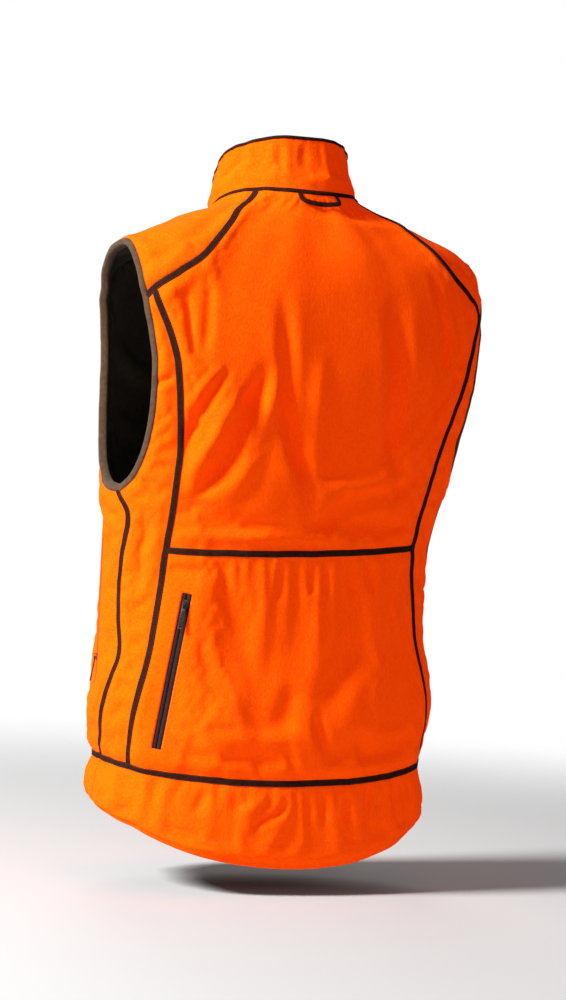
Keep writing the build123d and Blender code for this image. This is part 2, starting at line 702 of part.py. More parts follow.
def front_lining(side):
    levels = [HEM_LINING, CHEST]
    feet = [side * degrees for degrees in (LINING_SIDE + LINING_SEAM, UNDER_ARM, MID_FRONT)]
    turns = (UNDER_TURN - 4 * TURN_GAP, UNDER_ARM_TURN, ARMPIT_TURNS[-1])
    tops = [armhole(side, turn) for turn in turns]
    columns = [upright(degrees, levels)[0] for degrees in feet]
    patches = strips(columns if side > 0 else columns[::-1])
    walls = [straight((degrees, CHEST), top) for degrees, top in zip(feet, tops)]
    for k in range(2):
        over = armhole_arc(side, turns[k], turns[k + 1])
        ends = in_order(side, walls[k], walls[k + 1])
        patches.append(patch(*ends, top=over if side > 0 else part_of(over, 1, 0)))
    shoulder = armhole(side, SHOULDER_LINING_TURN)
    column = [columns[-1], walls[-1], armhole_arc(side, turns[-1], SHOULDER_LINING_TURN),
              straight(shoulder, (shoulder[0], COLLAR_SEAM - LEVEL_GAP))]
    rows = levels + [tops[-1][1], shoulder[1], COLLAR_SEAM - LEVEL_GAP]
    for k, line in enumerate(column):
        patches += strip(*in_order(side, line, front_edge(side, rows[k], rows[k + 1], LINING_HALF)))
    return sheet(patches, *LINING)


def bag(side, low, high):
    """Flat pocket bag; low and high are (near, far) degrees and level of its two ends."""
    (low_near, low_far, low_level), (high_near, high_far, high_level) = low, high
    near = straight((side * low_near, low_level), (side * high_near, high_level))
    far = straight((side * low_far, low_level), (side * high_far, high_level))
    return sheet(strip(*in_order(side, near, far)), *POCKET_BAG)


# ---------------------------------------------------------------- build


def build_cloth(back_zip, hand_zips):
    keep("upper_back_panel", upper_back_panel())
    keep("lower_back_panel", lower_back_panel(back_zip))
    hem_top = HEM_SEAM - LEVEL_GAP
    foot = SIDE_SEAM[0][0]
    keep("back_hem_panel", band((-foot, -HEM_COLUMN, 0, HEM_COLUMN, foot), 0.0, hem_top, SHELL))
    base = COLLAR_SEAM + LEVEL_GAP
    right_edge, left_edge = [front_edge(side, base, RIM) for side in (-1, 1)]
    collar = (right_edge, -COLLAR_COLUMN, 0, COLLAR_COLUMN, left_edge)
    keep("collar_outer", band(collar, base, RIM, SHELL))
    keep("collar_lining", band(collar, base, RIM, LINING))
    keep("back_lining", back_lining())
    for side, hand in ((1, "left"), (-1, "right")):
        keep(f"{hand}_back_side_panel", back_side_panel(side))
        keep(f"{hand}_shoulder_panel", shoulder_panel(side))
        keep(f"{hand}_front_panel", front_panel(side, hand_zips[side]))
        edges = in_order(side, side * (foot + LINING_SEAM), front_edge(side, 0.0, hem_top))
        middle = side * MID_FRONT
        keep(f"{hand}_front_hem_panel", band((edges[0], middle, edges[1]), 0.0, hem_top, SHELL))
        keep(f"{hand}_front_lining", front_lining(side))
        keep(f"{hand}_hand_pocket_bag", bag(side, *HAND_BAG))
    keep("back_pocket_bag", bag(1, *BACK_BAG))


def build_trim():
    piping = flat_section(PIPING_WIDTH, PIPING)
    for side, hand in ((1, "left"), (-1, "right")):
        princess = trimmed(seam(PRINCESS, side), *PRINCESS_ENDS)
        keep(f"{hand}_princess_piping", ribbon(princess, piping, 8))
        diagonal = trimmed(seam(DIAGONAL, side), *DIAGONAL_ENDS)
        keep(f"{hand}_yoke_back_piping", ribbon(diagonal, piping, 9))
        yoke = trimmed(seam(FRONT_YOKE, side), *YOKE_ENDS)
        keep(f"{hand}_yoke_front_piping", ribbon(yoke, piping, 6))
        keep(f"{hand}_side_piping", ribbon(trimmed(seam(SIDE_SEAM, side), *SIDE_ENDS), piping, 8))
        around = armhole_arc(side, UNDER_TURN, UNDER_TURN + side * 360)
        binding = ribbon(around, binding_section(BINDING_LIP), 12, loop=True)
        keep(f"{hand}_armhole_binding", binding)
    waist = straight((-PRINCESS[3][0], WAIST), (PRINCESS[3][0], WAIST))
    keep("waist_piping", ribbon(trimmed(waist, *WAIST_ENDS), piping, 4))
    around = front_edge(1, HEM_SEAM, HEM_SEAM)(0)[0]
    keep("hem_piping", ribbon(straight((around, HEM_SEAM), (-around, HEM_SEAM)), piping, 12))
    neck = front_edge(1, COLLAR_SEAM, COLLAR_SEAM)(0)[0]
    narrow = flat_section(COLLAR_PIPING_WIDTH, PIPING)
    keep("collar_seam_piping", ribbon(straight((neck, COLLAR_SEAM), (-neck, COLLAR_SEAM)), narrow, 8))
    top = front_edge(1, RIM, RIM)(0)[0]
    rim = straight((top, RIM), (-top, RIM))
    keep("collar_top_binding", ribbon(rim, binding_section(BINDING_LIP), 8))
    slack = lambda t: LOOP_LIFT * math.sin(math.pi * t)
    keep("hanger_loop", ribbon(seam(LOOP), flat_section(LOOP_WIDTH, PIPING), 6, lift=slack))


def build_front_zip(zipper):
    length, sizes = zipper.length, zipper.sizes
    teeth_start = BOX_LONG + PIN_LONG
    section = ((CENTRE_GAP, sizes["half"]), (sizes["low"], sizes["high"]))
    right_teeth, left_teeth = zipper.pair((teeth_start, length - STOP), *section)
    right_tape, left_tape = zipper.pair((0.0, length), (sizes["half"], FRONT_HALF - TRIM_GAP), (-TAPE, TAPE))
    if (right_teeth.center() - left_teeth.center()).X > 0:
        right_teeth, left_teeth, right_tape, left_tape = left_teeth, right_teeth, left_tape, right_tape
    keep("left_front_teeth", left_teeth)
    keep("right_front_teeth", right_teeth)
    keep("left_front_tape", left_tape)
    keep("right_front_tape", right_tape)
    keep("front_zip_top_stops", zipper.pair((length - STOP + TOUCH_GAP, length), *section))
    box_half = sizes["half"] - TOUCH_GAP
    box_high = (sizes["low"] - BOX_WALL, sizes["high"] + BOX_WALL)
    keep("front_zip_retainer_box", zipper.block((0.0, BOX_LONG), (-box_half, box_half), box_high))
    pins = (BOX_LONG + TOUCH_GAP, teeth_start - TOUCH_GAP)
    keep("front_zip_pins", zipper.pair(pins, *section))
    guard = zipper.block((GUARD_END, length - GUARD_END), (-GUARD_HALF, GUARD_HALF), POCKET_BAG)
    keep("front_zip_guard", guard)
    rest = length - STOP - sizes["long"] / 2 - REST_GAP
    travel = -(rest - teeth_start - sizes["long"] / 2 - REST_GAP)
    keep("front_slider", zipper.slider(rest))
    keep("front_puller", zipper.puller(rest))
    zipper.report("front", rest, travel)


def build_pocket_zip(name, zipper, closed_at_top):
    length, sizes = zipper.length, zipper.sizes
    section = ((CENTRE_GAP, sizes["half"]), (sizes["low"], sizes["high"]))
    full = (-SLOT_END + TRIM_GAP, length + SLOT_END - TRIM_GAP)
    keep(f"{name}_tapes", zipper.pair(full, (CENTRE_GAP, SLOT_HALF - TRIM_GAP), (-TAPE, TAPE)))
    coil = (STOP + TOUCH_GAP, length - STOP - TOUCH_GAP)
    keep(f"{name}_coil", zipper.pair(coil, *section))
    stops = zipper.pair((0.0, STOP), *section) + zipper.pair((length - STOP, length), *section)
    keep(f"{name}_stops", stops)
    end = STOP + sizes["long"] / 2 + REST_GAP
    rest = length - end if closed_at_top else end
    travel = (length - 2 * end) * (-1 if closed_at_top else 1)
    keep(f"{name}_slider", zipper.slider(rest))
    keep(f"{name}_puller", zipper.puller(rest))
    zipper.report(name, rest, travel)


back_zip = pocket_zip(1, BACK_POCKET, BACK_LIFT)
hand_zips = {side: pocket_zip(side, HAND_POCKET, HAND_LIFT) for side in (1, -1)}
stiff += [back_zip, hand_zips[1], hand_zips[-1]]
front_start, front_end = surface(180, 0.0), surface(180, RIM)
build_cloth(back_zip, hand_zips)
build_trim()
build_front_zip(Zip(front_start, front_end, normal(180, 5.0), TEETH))
build_pocket_zip("back_pocket", back_zip, True)
build_pocket_zip("left_hand_pocket", hand_zips[1], False)
build_pocket_zip("right_hand_pocket", hand_zips[-1], False)
print(len(nodes), "nodes")
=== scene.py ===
import json
import math

import bmesh
import bpy
import numpy as np
from mathutils import Matrix, Vector

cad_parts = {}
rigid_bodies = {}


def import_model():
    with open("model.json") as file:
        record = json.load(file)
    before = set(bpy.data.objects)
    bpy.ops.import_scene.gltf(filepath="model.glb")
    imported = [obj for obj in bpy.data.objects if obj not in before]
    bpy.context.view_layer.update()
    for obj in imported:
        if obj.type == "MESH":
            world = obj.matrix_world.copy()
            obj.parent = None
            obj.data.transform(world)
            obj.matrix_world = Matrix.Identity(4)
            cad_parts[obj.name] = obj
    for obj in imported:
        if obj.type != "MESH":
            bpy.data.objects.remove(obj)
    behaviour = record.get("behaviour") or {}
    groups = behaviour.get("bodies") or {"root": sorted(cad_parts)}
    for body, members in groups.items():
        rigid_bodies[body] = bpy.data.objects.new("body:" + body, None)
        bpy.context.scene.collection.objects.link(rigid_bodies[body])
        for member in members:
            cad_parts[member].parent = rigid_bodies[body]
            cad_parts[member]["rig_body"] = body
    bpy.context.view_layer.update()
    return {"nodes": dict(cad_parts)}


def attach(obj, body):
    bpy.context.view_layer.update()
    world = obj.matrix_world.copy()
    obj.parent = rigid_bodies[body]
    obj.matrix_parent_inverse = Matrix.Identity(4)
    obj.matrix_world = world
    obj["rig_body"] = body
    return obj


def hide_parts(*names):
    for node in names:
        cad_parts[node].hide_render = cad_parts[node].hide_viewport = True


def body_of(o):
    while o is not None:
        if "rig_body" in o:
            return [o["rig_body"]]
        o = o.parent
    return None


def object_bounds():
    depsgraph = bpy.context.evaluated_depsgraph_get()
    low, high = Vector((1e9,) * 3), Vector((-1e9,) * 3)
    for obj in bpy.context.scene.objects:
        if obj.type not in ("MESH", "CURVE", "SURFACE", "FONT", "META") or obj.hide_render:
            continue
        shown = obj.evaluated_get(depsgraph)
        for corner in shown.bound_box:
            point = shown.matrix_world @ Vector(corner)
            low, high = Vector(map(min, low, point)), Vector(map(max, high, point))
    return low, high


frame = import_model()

# Looks of the blaze orange vest.  Lengths in this file are millimetres until a mesh is made.
# Round the body, 0 degrees is the centre of the back, 90 the wearer's left and 180 the front.
# A level runs from 0 at the hem edge through 9 at the collar seam to 10 at the collar rim.

MM = 0.001
BODY = "vest"

# ---------------------------------------------------------------- the garment surface
# level, half width, back depth, heights at back, side and front, squareness
RINGS = np.array((
    (0.0, 203, 128, -758, -698, -712, 0.10),
    (1.0, 209, 132, -705, -668, -672, 0.10),
    (1.5, 199, 126, -666, -645, -645, 0.10),
    (2.0, 208, 132, -600, -588, -588, 0.10),
    (3.0, 199, 122, -500, -492, -492, 0.10),
    (4.0, 203, 118, -405, -395, -395, 0.10),
    (5.0, 219, 130, -300, -300, -300, 0.11),
    (6.0, 236, 142, -190, -190, -200, 0.12),
    (7.0, 229, 130, -85, -62, -120, 0.10),
    (8.0, 163, 104, -22, -24, -90, 0.05),
    (9.0, 88, 80, 16, 0, -62, 0.00),
    (9.5, 84, 75, 47, 30, -31, 0.00),
    (10.0, 77, 66, 80, 56, 4, 0.00),
))
# level, twist of the back, sideways shift, sideways tilt
STANCE = np.array((
    (0.0, 3, -7, -0.022),
    (1.5, 4, -6, -0.022),
    (3.0, 5, -1, -0.040),
    (4.0, 6, -2, -0.050),
    (6.0, 0, -13, 0.0),
    (7.5, -1, -12, 0.0),
    (9.0, -2, -2, 0.0),
    (10.0, -2, -1, 0.0),
))
FRONT_Y = -92.0
FRONT_LEAN = 0.06
HEM_SEAM, WAIST, ARMPIT, CHEST, YOKE, COLLAR_SEAM, RIM = 1.53, 4.05, 4.73, 4.4, 6.6, 9.0, 10.0
PRINCESS = ((67, 1.53), (57.5, 2.46), (52, 3.3), (47.5, 4.05), (45.5, 4.8), (45.5, 5.3), (48, 5.85),
            (52.5, 6.25), (60, 6.6))
DIAGONAL = ((64.4, 6.5), (60, 6.6), (50, 6.8), (42, 7.1), (41, 7.75), (45.5, 8.5), (49, 9))
SIDE_SEAM = ((91.5, 1.53), (83, 2.1), (78.5, 2.4), (73.7, 2.75), (76, 3.2), (76.5, 3.5), (74, 3.88),
             (69.8, 4.4), (80, 4.73))
FRONT_YOKE = ((114.5, 6.68), (120, 7.2), (123, 8.0), (125, 9))
ARMHOLE_TOP, ARMHOLE_SKEW, ARMHOLE_LEVEL, ARMHOLE_RISE = 88.0, 8.0, 5.9, 1.17
ARMHOLE_BACK, ARMHOLE_FRONT = 25.0, 38.0
DIAGONAL_TURN, YOKE_TURN = 30.9, 138.2
ARMPIT_TURNS = (-90, -115, -140, -160)
SEAM_GAP = 0.5
LEVEL_GAP = 0.008
TURN_GAP = 0.25
MID_FRONT = 130.0
LINING_SIDE = 80.0
LINING_LAP = 0.02
UNDER_ARM = 104.0
LINING_HALF = 17.5
SHELL = (-1.0, 1.0)
LINING = (-6.6, -5.8)
POCKET_BAG = (-5.2, -4.4)
# zips
SLOT_HALF, SLOT_END, FRONT_HALF = 5.6, 4.0, 8.5
STIFF_MARGIN, STIFF_REACH, STIFF_DEPTH = 4.0, 34.0, 60.0
BACK_POCKET = ((49.9, 1.80), (38.1, 3.51))
HAND_POCKET = ((100.0, 2.55), (107.0, 4.10))
BACK_LIFT, HAND_LIFT = 3.5, -2.5


def smooth(knots, values, at):
    """Cubic curve through the values at the knots."""
    at = np.asarray(at, float)
    step = np.diff(knots)
    slope = np.diff(values, axis=0) / step[:, None]
    tangent = np.empty_like(values)
    tangent[0], tangent[-1] = slope[0], slope[-1]
    before, after = step[:-1, None], step[1:, None]
    tangent[1:-1] = (slope[:-1] * after + slope[1:] * before) / (before + after)
    i = np.clip(np.searchsorted(knots, at, side="right") - 1, 0, len(step) - 1)
    u = ((at - knots[i]) / step[i])[..., None]
    rise = step[i][..., None]
    return ((2 * u**3 - 3 * u**2 + 1) * values[i] + (u**3 - 2 * u**2 + u) * rise * tangent[i]
            + (3 * u**2 - 2 * u**3) * values[i + 1] + (u**3 - u**2) * rise * tangent[i + 1])


def ring_rows():
    level, wide, back, z_back, z_side, z_front, square = RINGS.T
    front = FRONT_Y + FRONT_LEAN * z_front
    mid = (z_back + z_front) / 2
    return np.stack([wide, (back + front) / 2, (back - front) / 2, (mid + z_side) / 2,
                     (z_back - z_front) / 2, (mid - z_side) / 2, square], -1)


ROWS = ring_rows()


def ring_surface(spots):
    """Points on the rings; spots hold (degrees, level) in their last axis."""
    spots = np.asarray(spots, float)
    degrees, level = spots[..., 0], spots[..., 1]
    wide, y_mid, deep, z_mid, z_tip, z_side, square = np.moveaxis(smooth(RINGS[:, 0], ROWS, level), -1, 0)
    twist, shift, tilt = [np.interp(level, STANCE[:, 0], STANCE[:, k]) for k in (1, 2, 3)]
    back = (1 + np.cos(np.radians(degrees))) / 2
    turn = np.radians(degrees + twist * back)
    c, s = np.cos(turn), np.sin(turn)
    x = wide * s * (1 + square * c * c)
    y = y_mid + deep * c * (1 + square * s * s)
    z = z_mid + z_tip * c + z_side * np.cos(2 * turn) + tilt * x
    return np.stack([x + shift * (1 - (1 - back) ** 3), y, z], -1)


def unit(vectors):
    return vectors / np.linalg.norm(vectors, axis=-1, keepdims=True)


def fade(distance, start, reach):
    """1 up to `start`, falling smoothly to 0 over `reach` more."""
    t = np.clip((distance - start) / reach, 0, 1)
    return 1 - t * t * (3 - 2 * t)


stiff = []


def surface(spots):
    """Points of the garment surface, held straight beside each pocket zip."""
    points = ring_surface(spots)
    for zipper in stiff:
        points = zipper.straighten(points)
    return points


def normal(spots, shape=surface):
    spots = np.asarray(spots, float)
    across, up = np.array([0.05, 0.0]), np.array([0.0, 0.001])
    along, aside = shape(spots + up) - shape(spots - up), shape(spots + across) - shape(spots - across)
    return unit(np.cross(along, aside))


class Zip:
    """A straight zip's own axes: along it, aside and out of the cloth."""

    def __init__(self, start, end, out):
        self.start = start
        self.length = float(np.linalg.norm(end - start))
        self.along = (end - start) / self.length
        self.out = unit(out - self.along * (out @ self.along))
        self.aside = np.cross(self.along, self.out)

    def at(self, along, aside, out):
        """Points at given offsets; the three broadcast together."""
        along, aside, out = np.broadcast_arrays(along, aside, out)
        return (self.start + along[..., None] * self.along + aside[..., None] * self.aside
                + out[..., None] * self.out)

    def offsets(self, points):
        away = points - self.start
        return away @ self.along, away @ self.aside, away @ self.out

    def nearness(self, points, start, reach):
        """1 beside the zip, falling to 0 away from it."""
        along, aside, out = self.offsets(points)
        past = np.maximum(np.maximum(-along, along - self.length), 0)
        hold = fade(np.abs(aside), SLOT_HALF + start, reach) * fade(past, SLOT_END + start, reach)
        return np.where(np.abs(out) > STIFF_DEPTH, 0, hold)

    def straighten(self, points):
        out = self.offsets(points)[2]
        return points - (self.nearness(points, STIFF_MARGIN, STIFF_REACH) * out)[..., None] * self.out


def pocket_zip(side, ends, lift):
    spots = [np.array((side * degrees, level)) for degrees, level in ends]
    outs = [normal(spot, ring_surface) for spot in spots]
    start, end = [ring_surface(spot) + lift * out for spot, out in zip(spots, outs)]
    zipper = Zip(start, end, outs[0] + outs[1])
    zipper.spots = spots
    return zipper


back_zip = pocket_zip(1, BACK_POCKET, BACK_LIFT)
hand_zips = {side: pocket_zip(side, HAND_POCKET, HAND_LIFT) for side in (1, -1)}
stiff += [back_zip, hand_zips[1], hand_zips[-1]]
front_zip = Zip(surface((180, 0)), surface((180, RIM)), normal((180, 5)))

# ---------------------------------------------------------------- curves on the surface
# A curve takes numbers from 0 to 1 and gives spots.


def seam(points, side=1):
    values = np.array(points, float) * [side, 1]
    knots = np.linspace(0, 1, len(values))
    return lambda t: smooth(knots, values, t)


def straight(start, end):
    start, end = np.array(start, float), np.array(end, float)
    return lambda t: start + (end - start) * np.asarray(t, float)[..., None]


def part_of(curve, low, high):
    return lambda t: curve(low + (high - low) * np.asarray(t, float))


def armhole(side, turn):
    """Spot on the armhole: turn -90 is its lowest point, 0 its back edge, 90 its top."""
    c, s = np.cos(np.radians(turn)), np.sin(np.radians(turn))
    half = np.where(c > 0, ARMHOLE_BACK, ARMHOLE_FRONT)
    degrees = ARMHOLE_TOP - ARMHOLE_SKEW * (1 - s) / 2 - half * c
    return np.stack([side * degrees, ARMHOLE_LEVEL + ARMHOLE_RISE * s], -1)


def armhole_arc(side, low, high):
    return lambda t: armhole(side, low + (high - low) * np.asarray(t, float))


def at_level(curve, level):
    low, high = 0.0, 1.0
    for _ in range(40):
        mid = (low + high) / 2
        low, high = (mid, high) if curve(mid)[1] < level else (low, mid)
    return (low + high) / 2


def between(curve, low_level, high_level):
    return part_of(curve, at_level(curve, low_level), at_level(curve, high_level))


def spot_of(points, out, guess):
    """Spots of the surface points that lie over `points` along `out`."""
    side_axis = unit(np.cross(out, [0.0, 0.0, 1.0]))
    up_axis = np.cross(side_axis, out)
    spots = np.array(guess, float)

    def seen(vectors):
        return np.stack([(vectors * side_axis).sum(-1), (vectors * up_axis).sum(-1)], -1)

    for _ in range(6):
        miss = seen(points - surface(spots))
        d = seen(surface(spots + [0.1, 0]) - surface(spots - [0.1, 0])) / 0.2
        e = seen(surface(spots + [0, 0.01]) - surface(spots - [0, 0.01])) / 0.02
        det = d[..., 0] * e[..., 1] - d[..., 1] * e[..., 0]
        by_degrees = (miss[..., 0] * e[..., 1] - miss[..., 1] * e[..., 0]) / det
        by_level = (d[..., 0] * miss[..., 1] - d[..., 1] * miss[..., 0]) / det
        spots = spots + np.stack([by_degrees, by_level], -1)
    return spots


def frames(curve, t, loop=False):
    """Point, outward and sideways axes of a curve; sideways is to the left of its direction."""
    t = np.asarray(t, float)
    ahead, behind = (t + 0.002, t - 0.002) if loop else (np.minimum(t + 0.002, 1), np.maximum(t - 0.002, 0))
    spots = curve(t)
    out = normal(spots)
    along = surface(curve(ahead)) - surface(curve(behind))
    along = unit(along - (along * out).sum(-1, keepdims=True) * out)
    return surface(spots), out, np.cross(out, along)


def beside(curve, across):
    def moved(t):
        point, out, aside = frames(curve, t)
        return spot_of(point + across * aside, out, curve(np.asarray(t, float)))
    return moved


def length_of(curve, steps=60):
    points = surface(curve(np.linspace(0, 1, steps)))
    return float(np.linalg.norm(np.diff(points, axis=0), axis=1).sum())


def trimmed(curve, start, end):
    """The curve without its first and last millimetres."""
    t = np.linspace(0, 1, 300)
    length = np.concatenate([[0], np.cumsum(np.linalg.norm(np.diff(surface(curve(t)), axis=0), axis=1))])
    low, high = np.interp([start, length[-1] - end], length, t)
    return part_of(curve, low, high)


def even(curve, pitch):
    """Parameters of evenly spaced points along the curve."""
    t = np.linspace(0, 1, 600)
    length = np.concatenate([[0], np.cumsum(np.linalg.norm(np.diff(surface(curve(t)), axis=0), axis=1))])
    count = max(2, int(round(length[-1] / pitch)))
    return np.interp(np.linspace(0, length[-1], count + 1), length, t), length[-1]


def front_edge(side, low, high, half=FRONT_HALF):
    def edge(t):
        level = low + (high - low) * np.asarray(t, float)
        ring = smooth(RINGS[:, 0], ROWS, level)
        turn = np.degrees(np.arcsin(half / (ring[..., 0] * (1 + ring[..., 6]))))
        return np.stack([side * (180 - turn), level], -1)
    return edge


def slot_edge(zipper, hand):
    full = zipper.length + 2 * SLOT_END

    def edge(t):
        t = np.asarray(t, float)
        guess = straight(*zipper.spots)(t)
        points = zipper.at(full * t - SLOT_END, hand * SLOT_HALF, 0.0)
        return spot_of(points, np.broadcast_to(zipper.out, points.shape), guess)
    return edge


# ---------------------------------------------------------------- folds
# The relief is how far the worn cloth stands out from the smooth surface, on a grid of spots.
GRID_DEGREES = np.linspace(-180, 180, 721)
GRID_LEVELS = np.linspace(-0.1, 10.1, 511)
GRID = np.stack(np.meshgrid(GRID_DEGREES, GRID_LEVELS), -1)
GRID_POINTS = surface(GRID)
random = np.random.default_rng(56)


def near(curve, reach):
    """Distance of each grid point from the curve, and how far along the curve it is."""
    t, length = even(curve, 2.0)
    line = surface(curve(t))
    low, high = line.min(0) - reach, line.max(0) + reach
    inside = ((GRID_POINTS > low) & (GRID_POINTS < high)).all(-1)
    points = GRID_POINTS[inside].astype(np.float32)
    best = np.full(len(points), 1e9, np.float32)
    place = np.zeros(len(points))
    for k, spot in enumerate(line.astype(np.float32)):
        gap = ((points - spot) ** 2).sum(-1)
        closer = gap < best
        best[closer] = gap[closer]
        place[closer] = k
    distance = np.full(GRID.shape[:2], 1e3)
    along = np.zeros(GRID.shape[:2])
    distance[inside] = np.sqrt(best)
    along[inside] = place / (len(line) - 1)
    return distance, along, length


def cloud(across, up):
    """Smooth random field with features of the given size in millimetres, of unit spread."""
    field = random.normal(size=GRID.shape[:2])
    down, over = np.fft.fftfreq(field.shape[0], 1.8)[:, None], np.fft.fftfreq(field.shape[1], 1.75)[None]
    blur = np.exp(-2 * math.pi**2 * ((down * up) ** 2 + (over * across) ** 2))
    field = np.fft.ifft2(np.fft.fft2(field) * blur).real
    return field / field.std()


def ripple(along, pitch):
    """Random wave along a seam."""
    knots = np.arange(0, along.max() + 3 * pitch, pitch)
    heights = random.normal(size=len(knots))[:, None]
    return smooth(knots, heights, along)[..., 0]


# each fold: spots along it, half width, depth (negative is a valley)
FOLDS = (
    (((47, 5.0), (38.8, 5.51), (30, 6.05)), 9, -4.2),
    (((43, 4.75), (34, 5.25), (26, 5.9)), 9, 2.8),
    (((45, 4.35), (30.5, 4.93), (24.7, 5.4), (18, 6.15)), 11, -4.8),
    (((33, 4.4), (22, 4.9), (17.5, 5.5), (15, 6.2)), 11, 2.8),
    (((17, 7.0), (13.4, 5.79), (7.4, 5.21), (0.7, 4.68), (-4, 4.06)), 10, -3.8),
    (((6, 6.3), (2, 5.3), (-4, 4.6)), 12, 1.8),
    (((-16, 6.9), (-18.5, 6.1), (-23, 5.3), (-36, 4.4)), 14, -5.4),
    (((-30, 6.4), (-33, 5.6), (-40, 4.9)), 13, 1.8),
    (((-9.4, 4.12), (-9.9, 4.5), (-11.0, 4.85)), 6, -2.0),
    (((-17, 4.12), (-18, 4.5)), 6, -1.4),
    (((-32.5, 7.2), (-33.9, 6.72), (-37, 6.3), (-35, 5.8)), 7, -2.4),
    (((-41, 6.75), (-43, 6.3), (-42, 5.8)), 6, -1.8),
    (((48.6, 6.75), (45.5, 6.39), (43.0, 5.9)), 5, -1.6),
    (((38.9, 6.95), (38.7, 6.49), (39.7, 6.0)), 7, -1.8),
    (((59.5, 5.75), (49, 5.85)), 5, -2.0),
    (((-6.9, 2.25), (-7.7, 1.95), (-11.5, 1.56)), 7, -2.4),
    (((4.2, 1.9), (-0.3, 1.56)), 6, -2.0),
    (((14, 1.95), (11, 1.56)), 7, -1.6),
    (((-22, 2.0), (-24, 1.56)), 8, -1.4),
    (((-28.2, 3.2), (-13.7, 2.48), (-5.5, 2.1)), 20, -3.2),
    (((0, 2.54), (6, 1.9)), 13, -2.0),
    (((30, 3.2), (20, 2.5), (24, 1.9)), 22, 2.0),
    (((2.0, 1.45), (5.2, 1.13), (11.8, 0.94), (14.2, 0.60)), 5, -2.6),
    (((9, 1.45), (13, 1.2), (20, 1.05)), 6, 1.6),
    (((-4.0, 1.48), (-4.0, 0.85)), 5, -1.8),
    (((-10.4, 1.48), (-8.7, 0.8)), 5, -1.8),
    (((-17.9, 1.48), (-16.5, 0.75)), 5, -1.8),
    (((-26.2, 1.48), (-22.7, 0.7)), 6, -1.5),
    (((-40, 1.48), (-37, 0.8)), 7, -1.5),
    (((30, 1.48), (34, 0.9)), 7, -1.5),
    (((52, 1.48), (50, 0.8)), 7, -1.3),
    (((4.7, 4.0), (4.6, 3.45)), 6, -1.5),
    (((-5.5, 4.0), (-6.4, 3.5)), 5, -1.5),
    (((-10.4, 4.0), (-11.4, 3.45)), 5, -1.5),
    (((-19.2, 4.0), (-20.5, 3.45)), 6, -1.4),
    (((-26.4, 4.0), (-28.0, 3.5)), 6, -1.3),
    (((24, 4.0), (23, 3.6)), 7, -1.2),
    (((86, 9.25), (72.5, 9.53), (58, 9.85)), 8, -3.0),
    (((31.2, 9.9), (30.4, 9.4)), 6, -2.2),
    (((14.0, 9.9), (9.5, 9.4)), 6, -1.8),
    (((-60, 9.8), (-75, 9.3)), 9, -2.2),
    (((-10, 8.55), (-35, 8.4), (-42, 8.0)), 10, -1.6),
    # front and sides
    (((128, 6.3), (140, 6.0), (155, 5.9)), 12, -3.0),
    (((126, 5.5), (140, 5.3), (158, 5.4)), 13, -3.4),
    (((118, 4.9), (135, 4.6), (150, 4.4)), 11, -2.8),
    (((-128, 6.2), (-142, 5.9), (-158, 5.7)), 12, -3.2),
    (((-124, 5.3), (-140, 5.0), (-156, 5.0)), 13, -3.0),
    (((-118, 4.8), (-130, 4.4), (-145, 4.1)), 10, -2.6),
    (((150, 3.9), (152, 3.2), (158, 2.6)), 13, -2.6),
    (((-150, 3.7), (-148, 3.0), (-154, 2.3)), 13, -2.6),
    (((125, 2.4), (140, 2.0), (150, 1.6)), 12, -2.4),
    (((-128, 2.3), (-140, 1.9), (-152, 1.6)), 12, -2.4),
    (((88, 4.3), (92, 3.7), (95, 3.1)), 9, -2.6),
    (((-88, 4.3), (-93, 3.6), (-96, 3.0)), 9, -2.8),
    (((-60, 4.4), (-62, 3.8), (-66, 3.2)), 10, -2.6),
    (((-58, 5.6), (-57, 5.0), (-60, 4.5)), 8, -2.2),
    (((58, 4.6), (60, 4.0), (64, 3.4)), 9, -2.2),
    (((140, 1.48), (142, 0.8)), 6, -1.6),
    (((158, 1.48), (157, 0.8)), 6, -1.4),
    (((-138, 1.48), (-140, 0.8)), 6, -1.6),
    (((-156, 1.48), (-157, 0.8)), 6, -1.4),
    (((112, 1.48), (114, 0.8)), 7, -1.5),
    (((-112, 1.48), (-115, 0.8)), 7, -1.5),
)


DEPTH = 1.9  # makes every fold deeper
WIDEN = 1.2  # and wider


SEAM_HOLD = 0.75  # how far a seam keeps the folds from crossing it


def hem_line(level):
    edge = front_edge(1, level, level)(0.0)[0]
    return straight((edge, level), (-edge, level))


def all_seams():
    """The shell's seams, with how strongly each gathers the cloth."""
    neck = front_edge(1, COLLAR_SEAM, COLLAR_SEAM)(0.0)[0]
    lines = [(straight((-PRINCESS[3][0], WAIST), (PRINCESS[3][0], WAIST)), 0.8), (hem_line(HEM_SEAM), 1.3),
             (straight((neck, COLLAR_SEAM), (-neck, COLLAR_SEAM)), 0.4)]
    for side in (1, -1):
        lines += [(seam(PRINCESS, side), 0.4), (seam(DIAGONAL, side), 0.35), (seam(FRONT_YOKE, side), 0.35),
                  (seam(SIDE_SEAM, side), 0.45), (armhole_arc(side, -90, 270), 0.4)]
    return lines


